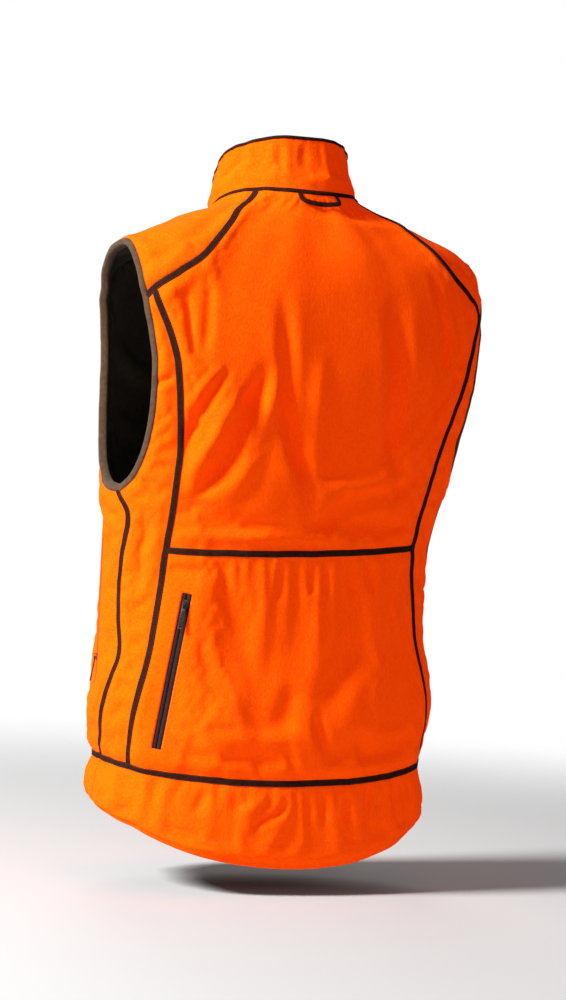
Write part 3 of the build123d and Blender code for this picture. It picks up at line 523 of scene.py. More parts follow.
def build_relief():
    relief = 0.8 * cloud(13, 70) + 1.1 * cloud(30, 34) + 0.12 * cloud(7, 9)
    for points, wide, depth in FOLDS:
        wide = WIDEN * wide
        distance, along, length = near(seam(points), 3 * wide)
        ends = fade(np.abs(along - 0.5), 0.18, 0.32)
        q = (distance / wide) ** 2
        relief += np.where(distance < 3 * wide, DEPTH * depth * ends * (1 - 0.8 * q) * np.exp(-0.9 * q), 0)
    dips = np.zeros_like(relief)
    nearest = np.full(relief.shape, 1e3)
    for curve, gather in all_seams():
        distance, along, length = near(curve, 50)
        dips += 0.9 * np.exp(-((distance - 15) / 9) ** 2) - 0.7 * np.exp(-(distance / 6) ** 2)
        wave = ripple(along * length, 8.5)
        relief += gather * wave * np.exp(-(distance / 15) ** 2) * np.where(distance < 50, 1, 0)
        nearest = np.minimum(nearest, distance)
    relief = relief * (1 - SEAM_HOLD * np.exp(-(nearest / 7.0) ** 2)) + dips
    distance = near(hem_line(0.5), 20)[0]
    relief -= 0.9 * np.exp(-(distance / 3.0) ** 2)
    collar = fade(COLLAR_SEAM - GRID[..., 1], 0, 0.15)
    relief *= 1 - 0.35 * collar
    for zipper in stiff:
        relief *= 1 - zipper.nearness(GRID_POINTS, 8.0, 30.0)
    away = np.abs(front_zip.offsets(GRID_POINTS)[1])
    away = np.where(GRID_POINTS[..., 1] < 0, away, 1e3)
    return relief * (1 - fade(away, 14.0, 34.0))


SIM_STEP = 4  # the simulated cloth has every fourth point of the grid
SIM_FRAMES = 16
SIM_LIMIT = 4.5  # most that the simulation may move the cloth


def settle(relief):
    """Let the whole garment hang as cloth a little too large for its seams, which hold it.

    Gives how far each point of the grid moves outward.
    """
    held = np.zeros(GRID.shape[:2])
    for curve, _ in all_seams():
        held = np.maximum(held, fade(near(curve, 16)[0], 5.0, 9.0))
    for zipper in stiff:
        held = np.maximum(held, zipper.nearness(GRID_POINTS, 6.0, 22.0))
    away = np.where(GRID_POINTS[..., 1] < 0, np.abs(front_zip.offsets(GRID_POINTS)[1]), 1e3)
    held = np.maximum(held, fade(away, 16.0, 24.0))
    held = np.maximum(held, fade(np.minimum(GRID[..., 1], RIM - GRID[..., 1]), 0.03, 0.1))
    held = held[::SIM_STEP, ::SIM_STEP]
    out = normal(GRID[::SIM_STEP, ::SIM_STEP])
    start = GRID_POINTS[::SIM_STEP, ::SIM_STEP] + relief[::SIM_STEP, ::SIM_STEP, None] * out
    rows, columns = held.shape
    index = np.arange(rows * columns).reshape(rows, columns)
    quads = np.stack([index[:-1, :-1], index[1:, :-1], index[1:, 1:], index[:-1, 1:]], -1).reshape(-1, 4)
    mesh = bpy.data.meshes.new("settling")
    mesh.from_pydata((start.reshape(-1, 3) * MM).tolist(), [], quads.tolist())
    obj = bpy.data.objects.new("settling", mesh)
    bpy.context.scene.collection.objects.link(obj)
    group = obj.vertex_groups.new(name="held")
    for k, weight in enumerate(held.ravel().tolist()):
        if weight > 0.01:
            group.add([k], weight, "REPLACE")
    modifier = obj.modifiers.new("hang", "CLOTH")
    sim = modifier.settings
    sim.quality = 6
    sim.mass = 0.25
    sim.tension_stiffness = sim.compression_stiffness = 22.0
    sim.shear_stiffness = 8.0
    sim.bending_stiffness = 0.8
    sim.vertex_group_mass = "held"
    sim.pin_stiffness = 30.0
    sim.shrink_min = -0.018
    modifier.collision_settings.use_collision = False
    modifier.point_cache.frame_start, modifier.point_cache.frame_end = 1, SIM_FRAMES
    scene = bpy.context.scene
    for frame_number in range(1, SIM_FRAMES + 1):
        scene.frame_set(frame_number)
    shaped = obj.evaluated_get(bpy.context.evaluated_depsgraph_get()).to_mesh()
    end = np.empty(len(shaped.vertices) * 3)
    shaped.vertices.foreach_get("co", end)
    end = end.reshape(rows, columns, 3) / MM
    scene.frame_set(1)
    bpy.data.objects.remove(obj)
    bpy.data.meshes.remove(mesh)
    move = ((end - start) * out).sum(-1)
    move = SIM_LIMIT * np.tanh(move / SIM_LIMIT)
    # back on the full grid, smoothly
    spots = np.linspace(0, columns - 1, GRID.shape[1]), np.linspace(0, rows - 1, GRID.shape[0])
    wide = smooth(np.arange(columns, dtype=float), move.T, spots[0]).T
    return smooth(np.arange(rows, dtype=float), wide, spots[1])


RELIEF = build_relief()
RELIEF += settle(RELIEF)


def relief_at(spots):
    """Relief at spots, read from the grid."""
    across = np.clip((spots[..., 0] + 180) / 0.5, 0, 719.999)
    up = np.clip((spots[..., 1] + 0.1) / 0.02, 0, 509.999)
    i, j = up.astype(int), across.astype(int)
    u, v = up - i, across - j
    return ((1 - u) * ((1 - v) * RELIEF[i, j] + v * RELIEF[i, j + 1])
            + u * ((1 - v) * RELIEF[i + 1, j] + v * RELIEF[i + 1, j + 1]))


def worn(spots, out=0.0):
    """Points of the folded cloth, or of something that lies `out` from it."""
    return surface(spots) + (relief_at(spots) + out)[..., None] * normal(spots)


# ---------------------------------------------------------------- meshes


def make_object(name, points, faces, material, uv=None, sharp=False):
    """Mesh object from points in millimetres; uv holds one pair for each point."""
    mesh = bpy.data.meshes.new(name)
    mesh.from_pydata((np.asarray(points) * MM).tolist(), [], [list(map(int, f)) for f in faces])
    mesh.polygons.foreach_set("use_smooth", [not sharp] * len(mesh.polygons))
    if uv is not None:
        layer = mesh.uv_layers.new(name="thread")
        corners = np.empty(len(mesh.loops), int)
        mesh.loops.foreach_get("vertex_index", corners)
        layer.data.foreach_set("uv", (np.asarray(uv)[corners]).astype(np.float32).ravel())
    mesh.materials.append(material)
    mesh.validate()
    obj = bpy.data.objects.new(name, mesh)
    bpy.context.scene.collection.objects.link(obj)
    return obj


def declare(obj, nodes, slot, body=BODY):
    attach(obj, body)
    if nodes:
        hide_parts(*([nodes] if isinstance(nodes, str) else nodes))
    return obj


def patch(left, right, bottom=None, top=None, nu=8, nv=8):
    """Grid of spots between two upright curves, filled in from its four edges."""
    u, v = np.linspace(0, 1, nu + 1), np.linspace(0, 1, nv + 1)
    a, b = left(v), right(v)
    uu, vv = u[:, None, None], v[None, :, None]
    corner = a[0], b[0], a[-1], b[-1]

    def rail(curve, start, end):
        if curve is None:
            return start + (end - start) * u[:, None]
        line = curve(u)
        return line + (start - line[0]) * (1 - u[:, None]) + (end - line[-1]) * u[:, None]

    low, high = rail(bottom, corner[0], corner[1]), rail(top, corner[2], corner[3])
    flat = ((1 - uu) * (1 - vv) * corner[0] + uu * (1 - vv) * corner[1]
            + (1 - uu) * vv * corner[2] + uu * vv * corner[3])
    return (1 - vv) * low[:, None] + vv * high[:, None] + (1 - uu) * a[None] + uu * b[None] - flat


STEP = 3.2


def count_between(a, b):
    """Mesh steps between two upright curves."""
    t = np.linspace(0, 1, 5)
    return max(1, int(math.ceil(np.linalg.norm(surface(a(t)) - surface(b(t)), axis=-1).max() / STEP)))


def quilt(columns, gap=None):
    """Patches between columns of curves; also gives the mesh steps across and up."""
    across = [max(count_between(a, b) for a, b in zip(c, d)) for c, d in zip(columns, columns[1:])]
    up = [max(2, int(math.ceil(max(length_of(column[row]) for column in columns) / STEP)))
          for row in range(len(columns[0]))]
    grids = []
    for c in range(len(columns) - 1):
        for row in range(len(up)):
            if (c, row) != (gap, 1):
                grids.append(patch(columns[c][row], columns[c + 1][row], nu=across[c], nv=up[row]))
    return grids, across, up


def weld(grids):
    """One list of spots and of four-sided faces from grids that meet."""
    spots, faces, base = [], [], 0
    for grid in grids:
        nu, nv = grid.shape[:2]
        index = base + np.arange(nu * nv).reshape(nu, nv)
        corners = [index[:-1, :-1], index[:-1, 1:], index[1:, 1:], index[1:, :-1]]
        faces.append(np.stack(corners, -1).reshape(-1, 4))
        spots.append(grid.reshape(-1, 2))
        base += nu * nv
    spots, faces = np.concatenate(spots), np.concatenate(faces)
    keys = np.round(spots * [400, 30000]).astype(np.int64)
    _, first, place = np.unique(keys, axis=0, return_index=True, return_inverse=True)
    faces = place.ravel()[faces]
    return spots[first], faces[[len(set(f)) == 4 for f in faces.tolist()]]


def vertex_normals(points, faces):
    p = points[faces]
    turn = np.cross(p[:, 2] - p[:, 0], p[:, 3] - p[:, 1])
    total = np.zeros_like(points)
    for k in range(4):
        np.add.at(total, faces[:, k], turn)
    return unit(total)


HEM_CURL = 2.1  # radius of the turned hem
HEM_TURN = 0.1  # levels that stand for its half turn
TURNED_TO = -0.52  # level that stands for the turning's end


def place(spots):
    """Folded cloth, with spots below level 0 curled up inside as the hem's turning."""
    level = spots[..., 1]
    under = np.clip(-level, 0, HEM_TURN) / HEM_TURN * math.pi
    top = np.stack([spots[..., 0], np.where(level < -HEM_TURN, -level - HEM_TURN, np.maximum(level, 0))], -1)
    out = normal(top)
    down = -unit(surface(top + [0, 0.01]) - surface(top))
    curl = HEM_CURL * ((np.cos(under) - 1)[..., None] * out + np.sin(under)[..., None] * down)
    return surface(top) + relief_at(top)[..., None] * out + curl


def cloth(name, nodes, grids, layer, material, slot, flat, held="stretched"):
    """A piece of cloth with two faces and a wall round its edges."""
    spots, faces = weld(grids)
    middle = place(spots)
    out = vertex_normals(middle, faces)
    count = len(spots)
    points = np.concatenate([middle + layer[1] * out, middle + layer[0] * out])
    edges = np.concatenate([faces[:, [k, (k + 1) % 4]] for k in range(4)])
    key = np.sort(edges, axis=1)
    _, first, times = np.unique(key, axis=0, return_index=True, return_counts=True)
    border = edges[first[times == 1]]
    walls = np.stack([border[:, 1], border[:, 0], border[:, 0] + count, border[:, 1] + count], -1)
    quads = np.concatenate([faces, faces[:, ::-1] + count, walls])
    uv = np.stack([spots[:, 0] * 3.6, middle[:, 2]], -1)
    obj = make_object(name, points, quads, material, np.concatenate([uv, uv]))
    for polygon in obj.data.polygons[2 * len(faces):]:
        polygon.use_smooth = False
    declare(obj, nodes, slot)
    wide, long, share = flat
    return obj


def tape(name, nodes, curve, section, material, slot, pitch=2.5, loop=False, rise=None, wander=0.0, rib=0.0):
    """Strip laid along a curve on the folded cloth; the section lists (across, out) all round it."""
    t, length = even(curve, pitch)
    if loop:
        t = t[:-1]
    point, out, aside = frames(curve, t, loop)
    section = np.array(section, float)
    shift = wander * ripple(np.linspace(0, length, len(t)), 18.0) if wander else np.zeros(len(t))
    lift = rise(t) if rise else np.zeros(len(t))
    ridges = rib * (np.arange(len(t)) % 2)
    rows = []
    centre = section.mean(0)
    for across, up in section:
        spots = spot_of(point + (across + shift)[:, None] * aside, out, curve(t))
        swell = ridges * (1 if up > centre[1] else -1) if rib else 0.0
        rows.append(worn(spots, up + lift + swell))
    points = np.stack(rows, 1)
    n, m = points.shape[:2]
    index = np.arange(n * m).reshape(n, m)
    ahead = np.roll(index, -1, 0) if loop else index[1:]
    here = index if loop else index[:-1]
    quads = np.stack([here, np.roll(here, -1, 1), np.roll(ahead, -1, 1), ahead], -1).reshape(-1, 4).tolist()
    if not loop:
        quads += [index[0, ::-1].tolist(), index[-1].tolist()]
    around = np.concatenate([[0], np.cumsum(np.linalg.norm(np.diff(section, axis=0), axis=1))])
    uv = np.stack(np.meshgrid(around, np.linspace(0, length, n)), -1).reshape(-1, 2)
    flat_points = points.reshape(-1, 3)
    # outward winding
    a, b, c = [flat_points[k] for k in (index[0, 0], index[0, 1], ahead[0, 0])]
    if np.cross(b - a, c - a) @ (a - points[0].mean(0)) < 0:
        quads = [q[::-1] for q in quads]
    obj = make_object(name, flat_points, quads, material, uv)
    declare(obj, nodes, slot)
    return obj


def tube_faces(rows, sides):
    """Faces of a closed tube of rings, with its two ends."""
    index = np.arange(rows * sides).reshape(rows, sides)
    quads = np.stack([index[:-1], np.roll(index[:-1], -1, 1), np.roll(index[1:], -1, 1), index[1:]], -1)
    return quads.reshape(-1, 4).tolist() + [index[0, ::-1].tolist(), index[-1].tolist()]


def bar(zipper, section, start, end, pitch=4.0):
    """Strip along a straight zip; the section lists (aside, out) all round it."""
    count = max(1, int((end - start) / pitch))
    along = np.linspace(start, end, count + 1)
    section = np.array(section, float)
    points = zipper.at(along[:, None], section[None, :, 0], section[None, :, 1])
    n, m = points.shape[:2]
    quads = tube_faces(n, m)
    around = np.concatenate([[0], np.cumsum(np.linalg.norm(np.diff(section, axis=0), axis=1))])
    uv = np.stack(np.meshgrid(around, along), -1).reshape(-1, 2)
    return points.reshape(-1, 3), quads, uv


def join(parts):
    """One point list, face list and uv list from several."""
    points, quads, uvs, base = [], [], [], 0
    for p, q, uv in parts:
        points.append(p)
        quads += [[k + base for k in face] for face in q]
        uvs.append(uv)
        base += len(p)
    return np.concatenate(points), quads, np.concatenate(uvs)


# a stitch's rings: place along it, thickness, rise
STITCH = ((-0.5, 0.45, -0.25), (-0.3, 1.0, 0.0), (0.3, 1.0, 0.0), (0.5, 0.45, -0.25))


def stitches(name, runs, material, slot, pitch=3.4, long=2.4, radius=0.26, body=BODY):
    """Rows of sewing stitches; each run is (curve, across, out)."""
    sides, parts = 5, []
    angles = np.linspace(0, 2 * math.pi, sides, endpoint=False)
    for curve, across, up in runs:
        t, length = even(curve, pitch)
        t = (t[:-1] + t[1:]) / 2
        point, out, aside = frames(curve, t)
        spots = spot_of(point + across * aside, out, curve(t)) if across else curve(t)
        base = worn(spots, up)
        along = np.cross(aside, out)
        rings = []
        for reach, thick, sink in STITCH:
            middle = base + reach * long * along + sink * out
            ring = (middle[:, None] + radius * thick * (np.cos(angles)[None, :, None] * aside[:, None]
                                                        + np.sin(angles)[None, :, None] * out[:, None]))
            rings.append(ring)
        points = np.stack(rings, 1)
        n = len(points)
        index = np.arange(n * 4 * sides).reshape(n, 4, sides)
        near_rings, far_rings = index[:, :-1], index[:, 1:]
        quads = np.stack([near_rings, far_rings, np.roll(far_rings, -1, 2), np.roll(near_rings, -1, 2)], -1)
        faces = quads.reshape(-1, 4).tolist() + index[:, 0].tolist() + index[:, -1, ::-1].tolist()
        parts.append((points.reshape(-1, 3), faces, np.zeros((n * 4 * sides, 2))))
    points, faces, uv = join(parts)
    obj = make_object(name, points, faces, material, uv)
    return declare(obj, None, slot, body)


# ---------------------------------------------------------------- materials


def node(tree, kind, **values):
    made = tree.nodes.new(kind)
    for name, value in values.items():
        if name.startswith("in_"):
            made.inputs[name[3:].replace("_", " ")].default_value = value
        else:
            setattr(made, name, value)
    return made


def new_material(name, colour, rough, **sockets):
    material = bpy.data.materials.new(name)
    material.use_nodes = True
    tree = material.node_tree
    shader = tree.nodes["Principled BSDF"]
    shader.inputs["Base Color"].default_value = (*colour, 1)
    shader.inputs["Roughness"].default_value = rough
    for key, value in sockets.items():
        shader.inputs[key.replace("_", " ")].default_value = value
    material.diffuse_color = (*colour, 1)
    return material, tree, shader


def math_node(tree, operation, a, b):
    made = tree.nodes.new("ShaderNodeMath")
    made.operation = operation
    for socket, value in zip(made.inputs, (a, b)):
        if isinstance(value, (int, float)):
            socket.default_value = value
        else:
            tree.links.new(value, socket)
    return made.outputs[0]


def noise(tree, source, scale, detail=3.0, rough=0.6):
    made = node(tree, "ShaderNodeTexNoise", in_Scale=scale, in_Detail=detail, in_Roughness=rough)
    tree.links.new(source, made.inputs["Vector"])
    return made.outputs["Fac"]


def mix_colours(tree, factor, first, second):
    made = tree.nodes.new("ShaderNodeMix")
    made.data_type = "RGBA"
    tree.links.new(factor, made.inputs[0])
    for socket, value in ((made.inputs[6], first), (made.inputs[7], second)):
        if isinstance(value, tuple):
            socket.default_value = (*value, 1)
        else:
            tree.links.new(value, socket)
    return made.outputs[2]


def spread(tree, value, low, high):
    """Map low..high onto 0..1."""
    made = node(tree, "ShaderNodeMapRange", in_From_Min=low, in_From_Max=high)
    tree.links.new(value, made.inputs["Value"])
    return made.outputs["Result"]


def bump(tree, shader, height, strength, distance):
    made = node(tree, "ShaderNodeBump", in_Strength=strength, in_Distance=distance)
    tree.links.new(height, made.inputs["Height"])
    tree.links.new(made.outputs["Normal"], shader.inputs["Normal"])


def threads(tree, across, along):
    """Height of a plain weave, with threads of the given widths in millimetres."""
    uv = node(tree, "ShaderNodeUVMap", uv_map="thread").outputs["UV"]
    parts = node(tree, "ShaderNodeSeparateXYZ")
    tree.links.new(uv, parts.inputs[0])
    u = math_node(tree, "MULTIPLY", parts.outputs["X"], math.pi / across)
    v = math_node(tree, "MULTIPLY", parts.outputs["Y"], math.pi / along)
    warp = math_node(tree, "ABSOLUTE", math_node(tree, "SINE", u, 0), 0)
    weft = math_node(tree, "ABSOLUTE", math_node(tree, "SINE", v, 0), 0)
    check = math_node(tree, "MULTIPLY", math_node(tree, "SINE", u, 0), math_node(tree, "SINE", v, 0))
    over = math_node(tree, "GREATER_THAN", check, 0.0)
    less = math_node(tree, "SUBTRACT", 1.0, over)
    first = math_node(tree, "MULTIPLY", warp, over)
    second = math_node(tree, "MULTIPLY", weft, less)
    return math_node(tree, "ADD", first, second)


def fleece_material():
    # The red emission is a painted glow: the fleece gives off red light of its own, standing in for its
    # fluorescence, so it stays red where it lies in shade.
    material, tree, shader = new_material(
        "orange_fleece", (0.97, 0.12, 0.0), 0.95, Sheen_Weight=0.10, Sheen_Roughness=0.45,
        Sheen_Tint=(1.0, 0.25, 0.02, 1), Emission_Color=(1.0, 0.008, 0.0, 1), Emission_Strength=0.40,
        Specular_IOR_Level=0.04)
    where = node(tree, "ShaderNodeTexCoord").outputs["Object"]
    pile, tufts = noise(tree, where, 1000, 4.0), noise(tree, where, 360, 3.0)
    broad = noise(tree, where, 28, 2.0)
    grain = mix_colours(tree, spread(tree, pile, 0.32, 0.68), (0.82, 0.085, 0.0), (1.0, 0.160, 0.001))
    tuft = mix_colours(tree, spread(tree, tufts, 0.38, 0.62), (0.80, 0.082, 0.0), grain)
    final = mix_colours(tree, spread(tree, broad, 0.2, 1.1), tuft, grain)
    tree.links.new(final, shader.inputs["Base Color"])
    low, high = math_node(tree, "MULTIPLY", pile, 0.45), math_node(tree, "MULTIPLY", tufts, 0.55)
    height = math_node(tree, "ADD", low, high)
    bump(tree, shader, height, 0.6, 0.0018)
    return material


def woven_material(name, dark, light, across=0.9, along=0.7, rough=0.8, depth=0.0004, sheen=0.05, gloss=0.2):
    material, tree, shader = new_material(name, dark, rough, Sheen_Weight=sheen, Specular_IOR_Level=gloss)
    weave = threads(tree, across, along)
    where = node(tree, "ShaderNodeTexCoord").outputs["Object"]
    patchiness = noise(tree, where, 220, 3.0)
    # Thread crowns take the light colour and the hollows between threads the dark one, more so in random
    # patches: painted shade in the hollows between threads.
    blend = math_node(tree, "MULTIPLY", weave, spread(tree, patchiness, 0.25, 0.8))
    tree.links.new(mix_colours(tree, blend, dark, light), shader.inputs["Base Color"])
    height = math_node(tree, "ADD", weave, math_node(tree, "MULTIPLY", patchiness, 0.25))
    bump(tree, shader, height, 0.7, depth)
    return material


def plastic_material(name, colour, second, rough=0.38):
    material, tree, shader = new_material(name, colour, rough, Specular_IOR_Level=0.5)
    where = node(tree, "ShaderNodeTexCoord").outputs["Object"]
    fine = noise(tree, where, 700, 3.0)
    mottled = mix_colours(tree, spread(tree, fine, 0.35, 0.7), colour, second)
    tree.links.new(mottled, shader.inputs["Base Color"])
    tree.links.new(spread_to(tree, fine, rough - 0.08, rough + 0.12), shader.inputs["Roughness"])
    bump(tree, shader, fine, 0.15, 0.0002)
    return material


def spread_to(tree, value, low, high):
    made = node(tree, "ShaderNodeMapRange", in_From_Min=0.3, in_From_Max=0.7, in_To_Min=low, in_To_Max=high)
    tree.links.new(value, made.inputs["Value"])
    return made.outputs["Result"]


def metal_material(name, colour, worn_colour, rough):
    material, tree, shader = new_material(name, colour, rough, Metallic=1.0)
    where = node(tree, "ShaderNodeTexCoord").outputs["Object"]
    scratches = noise(tree, where, 900, 5.0, 0.7)
    patches = noise(tree, where, 160, 2.0)
    rubbed = spread(tree, math_node(tree, "MULTIPLY", scratches, patches), 0.2, 0.42)
    tree.links.new(mix_colours(tree, rubbed, colour, worn_colour), shader.inputs["Base Color"])
    tree.links.new(spread_to(tree, scratches, rough - 0.08, rough + 0.15), shader.inputs["Roughness"])
    bump(tree, shader, scratches, 0.12, 0.0001)
    return material


FLEECE = fleece_material()
# Each woven material is given as a dark and a light colour; the dark one also serves as painted shade in the
# hollows between its threads.
PIPING = woven_material("piping_tape", (0.022, 0.006, 0.003), (0.072, 0.022, 0.010), 0.9, 0.6,
                        sheen=0.0, gloss=0.06)
RIB = woven_material("armhole_rib", (0.045, 0.022, 0.010), (0.150, 0.078, 0.038), 1.4, 1.1, 0.92, 0.0005, 0.1)
OLIVE = woven_material("olive_lining", (0.034, 0.023, 0.011), (0.090, 0.065, 0.034), 1.3, 1.0,
                       0.9, 0.0004, 0.12)
ZIP_TAPE = woven_material("zip_tape", (0.026, 0.012, 0.012), (0.058, 0.030, 0.030), 0.7, 0.5,
                          0.85, 0.0003, 0.0, 0.08)
COIL = plastic_material("zip_coil", (0.034, 0.018, 0.017), (0.060, 0.034, 0.032))
TEETH = plastic_material("zip_teeth", (0.024, 0.014, 0.010), (0.050, 0.032, 0.024), 0.34)
METAL = metal_material("gunmetal", (0.075, 0.062, 0.055), (0.30, 0.26, 0.23), 0.32)
# The orange thread's red emission is a painted glow, like the fleece's, standing in for fluorescence.
ORANGE_THREAD = new_material("orange_thread", (0.80, 0.075, 0.0), 0.6, Emission_Color=(1.0, 0.02, 0.0, 1),
                             Emission_Strength=0.12)[0]
BROWN_THREAD = new_material("brown_thread", (0.060, 0.030, 0.018), 0.55)[0]

# ---------------------------------------------------------------- shell


def in_order(side, inward, outward):
    return (inward, outward) if side > 0 else (outward, inward)


def pinned(curve, start):
    fix = start - curve(0.0)
    return lambda t: curve(t) + fix * (1 - np.asarray(t, float)[..., None])


def steps_of(curve, levels, across):
    moved = beside(curve, across)
    cuts = [at_level(curve, level) for level in levels]
    return [part_of(moved, low, high) for low, high in zip(cuts, cuts[1:])]


def upright(degrees, levels):
    return [straight((degrees, low), (degrees, high)) for low, high in zip(levels, levels[1:])]


def slot_column(edge, low, high):
    foot, head = edge(0.0), edge(1.0)
    return [straight((foot[0], low), foot), edge, straight(head, (head[0], high))]


def upper_back():
    columns = []
    for side in (-1, 1):
        princess = between(seam(PRINCESS, side), WAIST + LEVEL_GAP, YOKE - LEVEL_GAP)
        diagonal = between(seam(DIAGONAL, side), YOKE, COLLAR_SEAM - LEVEL_GAP)
        low = beside(princess, -side * SEAM_GAP)
        columns.append([low, pinned(beside(diagonal, -side * SEAM_GAP), low(1.0))])
    return quilt(columns)[0]


def lower_back():
    low_level, high_level = HEM_SEAM + LEVEL_GAP, WAIST - LEVEL_GAP
    edges = [slot_edge(back_zip, hand) for hand in (1, -1)]
    levels = [low_level, edges[0](0.0)[1], edges[0](1.0)[1], high_level]
    outer = [steps_of(seam(PRINCESS, side), levels, -side * SEAM_GAP) for side in (-1, 1)]
    middle = [upright(0.0, levels)]
    slots = [slot_column(edge, low_level, high_level) for edge in edges]
    return quilt([outer[0]] + middle + slots + [outer[1]], len(middle) + 1)[0]


def back_side(side):
    princess = seam(PRINCESS, side)
    low_in = beside(between(princess, HEM_SEAM + LEVEL_GAP, ARMPIT), side * SEAM_GAP)
    low_out = beside(between(seam(SIDE_SEAM, side), HEM_SEAM + LEVEL_GAP, ARMPIT), -side * SEAM_GAP)
    high_in = beside(between(princess, ARMPIT, YOKE - 3 * LEVEL_GAP), side * SEAM_GAP)
    high_out = armhole_arc(side, -90, DIAGONAL_TURN - 4 * TURN_GAP)
    inward = [low_in, pinned(high_in, low_in(1.0))]
    outward = [low_out, pinned(high_out, low_out(1.0))]
    return quilt(list(in_order(side, inward, outward)))[0]


def shoulder(side):
    top = COLLAR_SEAM - LEVEL_GAP
    low_turn, high_turn = DIAGONAL_TURN + TURN_GAP, YOKE_TURN - TURN_GAP
    diagonal = pinned(beside(between(seam(DIAGONAL, side), DIAGONAL[0][1], top), side * SEAM_GAP),
                      armhole(side, low_turn))
    yoke = pinned(beside(between(seam(FRONT_YOKE, side), FRONT_YOKE[0][1], top), -side * SEAM_GAP),
                  armhole(side, high_turn))
    ridge = straight(armhole(side, 90), (side * ARMHOLE_TOP, top))
    back_arc, front_arc = armhole_arc(side, low_turn, 90), armhole_arc(side, 90, high_turn)
    up = int(math.ceil(max(length_of(line) for line in (diagonal, ridge, yoke)) / STEP))
    if side > 0:
        halves = [(diagonal, ridge, back_arc), (ridge, yoke, front_arc)]
    else:
        halves = [(yoke, ridge, part_of(front_arc, 1, 0)), (ridge, diagonal, part_of(back_arc, 1, 0))]
    return [patch(a, b, bottom=foot, nu=int(length_of(foot) / STEP) + 1, nv=up) for a, b, foot in halves]


def front_columns(side, columns, inner, rows, half, walls, turns, gap):
    """Patches of a front panel: the lower columns, those under the armhole, and those beside the zip."""
    grids, across, up = quilt(columns if side > 0 else columns[::-1], gap)
    across = across if side > 0 else across[::-1]
    lengths = [length_of(line) for line in inner]
    rise = up + [int(math.ceil(length / STEP)) for length in lengths[len(up):]]
    for k in range(len(walls) - 1):
        over = armhole_arc(side, turns[k], turns[k + 1])
        grids.append(patch(*in_order(side, walls[k], walls[k + 1]), nu=across[k], nv=rise[len(up)],
                           top=over if side > 0 else part_of(over, 1, 0)))
    edges = [front_edge(side, low, high, half) for low, high in zip(rows, rows[1:])]
    wide = max(count_between(line, edge) for line, edge in zip(inner, edges))
    for line, edge, count in zip(inner, edges, rise):
        grids.append(patch(*in_order(side, line, edge), nu=wide, nv=count))
    return grids


def front_panel(side):
    hem, top = HEM_SEAM + LEVEL_GAP, COLLAR_SEAM - LEVEL_GAP
    edges = [slot_edge(hand_zips[side], hand) for hand in (side, -side)]
    levels = [hem, edges[0](0.0)[1], edges[0](1.0)[1], CHEST]
    middle = upright(side * MID_FRONT, levels)
    columns = [steps_of(seam(SIDE_SEAM, side), levels, side * SEAM_GAP)]
    columns += [slot_column(edge, hem, CHEST) for edge in edges] + [middle]
    feet = [column[-1](1.0) for column in columns]
    tops = [armhole(side, turn) for turn in ARMPIT_TURNS]
    walls = [straight(foot, head) for foot, head in zip(feet, tops)]
    inner = middle + [walls[3], armhole_arc(side, ARMPIT_TURNS[-1], YOKE_TURN + TURN_GAP - 360)]
    yoke = between(seam(FRONT_YOKE, side), FRONT_YOKE[0][1], top)
    inner.append(pinned(beside(yoke, side * SEAM_GAP), inner[-1](1.0)))
    rows = levels + [tops[-1][1], inner[-1](0.0)[1], top]
    return front_columns(side, columns, inner, rows, FRONT_HALF, walls, ARMPIT_TURNS, 1)


def front_lining(side):
    top = COLLAR_SEAM
    levels = [0.05, CHEST]
    feet = [side * degrees for degrees in (LINING_SIDE + 0.4, UNDER_ARM, MID_FRONT)]
    turns = (-91, -128, ARMPIT_TURNS[-1])
    tops = [armhole(side, turn) for turn in turns]
    columns = [upright(degrees, levels) for degrees in feet]
    walls = [straight((degrees, CHEST), head) for degrees, head in zip(feet, tops)]
    end = armhole(side, -269)
    inner = columns[-1] + [walls[-1], armhole_arc(side, turns[-1], -269), straight(end, (end[0], top))]
    rows = levels + [tops[-1][1], end[1], top]
    return front_columns(side, columns, inner, rows, LINING_HALF, walls, turns, None)


def back_lining():
    levels = [0.05, ARMPIT, armhole(1, DIAGONAL_TURN)[1], armhole(1, 90)[1], COLLAR_SEAM]
    columns = [upright(0.0, levels)]
    for side in (-1, 1):
        top = armhole(side, 90)
        edge = [straight((side * LINING_SIDE, levels[0]), armhole(side, -90)),
                armhole_arc(side, -90, DIAGONAL_TURN), armhole_arc(side, DIAGONAL_TURN, 90),
                straight(top, (top[0], levels[-1]))]
        columns.insert(0 if side < 0 else len(columns), edge)
    return quilt(columns)[0]


def band(edges, low, high, curl=False):
    """Ring-shaped piece between two levels, with its lower edge turned up inside if `curl`."""
    def lines_at(a, b):
        return [[edge(a, b) if callable(edge) else straight((edge, a), (edge, b))] for edge in edges]
    grids, across, up = quilt(lines_at(low, high))
    if curl:
        feet = [line[0](0.0)[0] for line in lines_at(low, high)]
        for a, b, count in ((-HEM_TURN, low, 8), (TURNED_TO, -HEM_TURN, 10)):
            lines = [straight((foot, a), (foot, b)) for foot in feet]
            grids += [patch(p, q, nu=n, nv=count) for p, q, n in zip(lines, lines[1:], across)]
    return grids


def edge_maker(side, half=FRONT_HALF):
    return lambda low, high: front_edge(side, low, high, half)


def bag(side, low, high):
    (low_near, low_far, low_level), (high_near, high_far, high_level) = low, high
    near_edge = straight((side * low_near, low_level), (side * high_near, high_level))
    far_edge = straight((side * low_far, low_level), (side * high_far, high_level))
    return quilt([[line] for line in in_order(side, near_edge, far_edge)])[0]


HANDS = ((1, "left"), (-1, "right"))
orange = dict(layer=SHELL, material=FLEECE, slot="orange_fleece")
olive = dict(layer=LINING, material=OLIVE, slot="olive_lining")
pocket = dict(layer=POCKET_BAG, material=OLIVE, slot="olive_lining", held="hung")
hem_top = HEM_SEAM - LEVEL_GAP
side_foot = SIDE_SEAM[0][0]

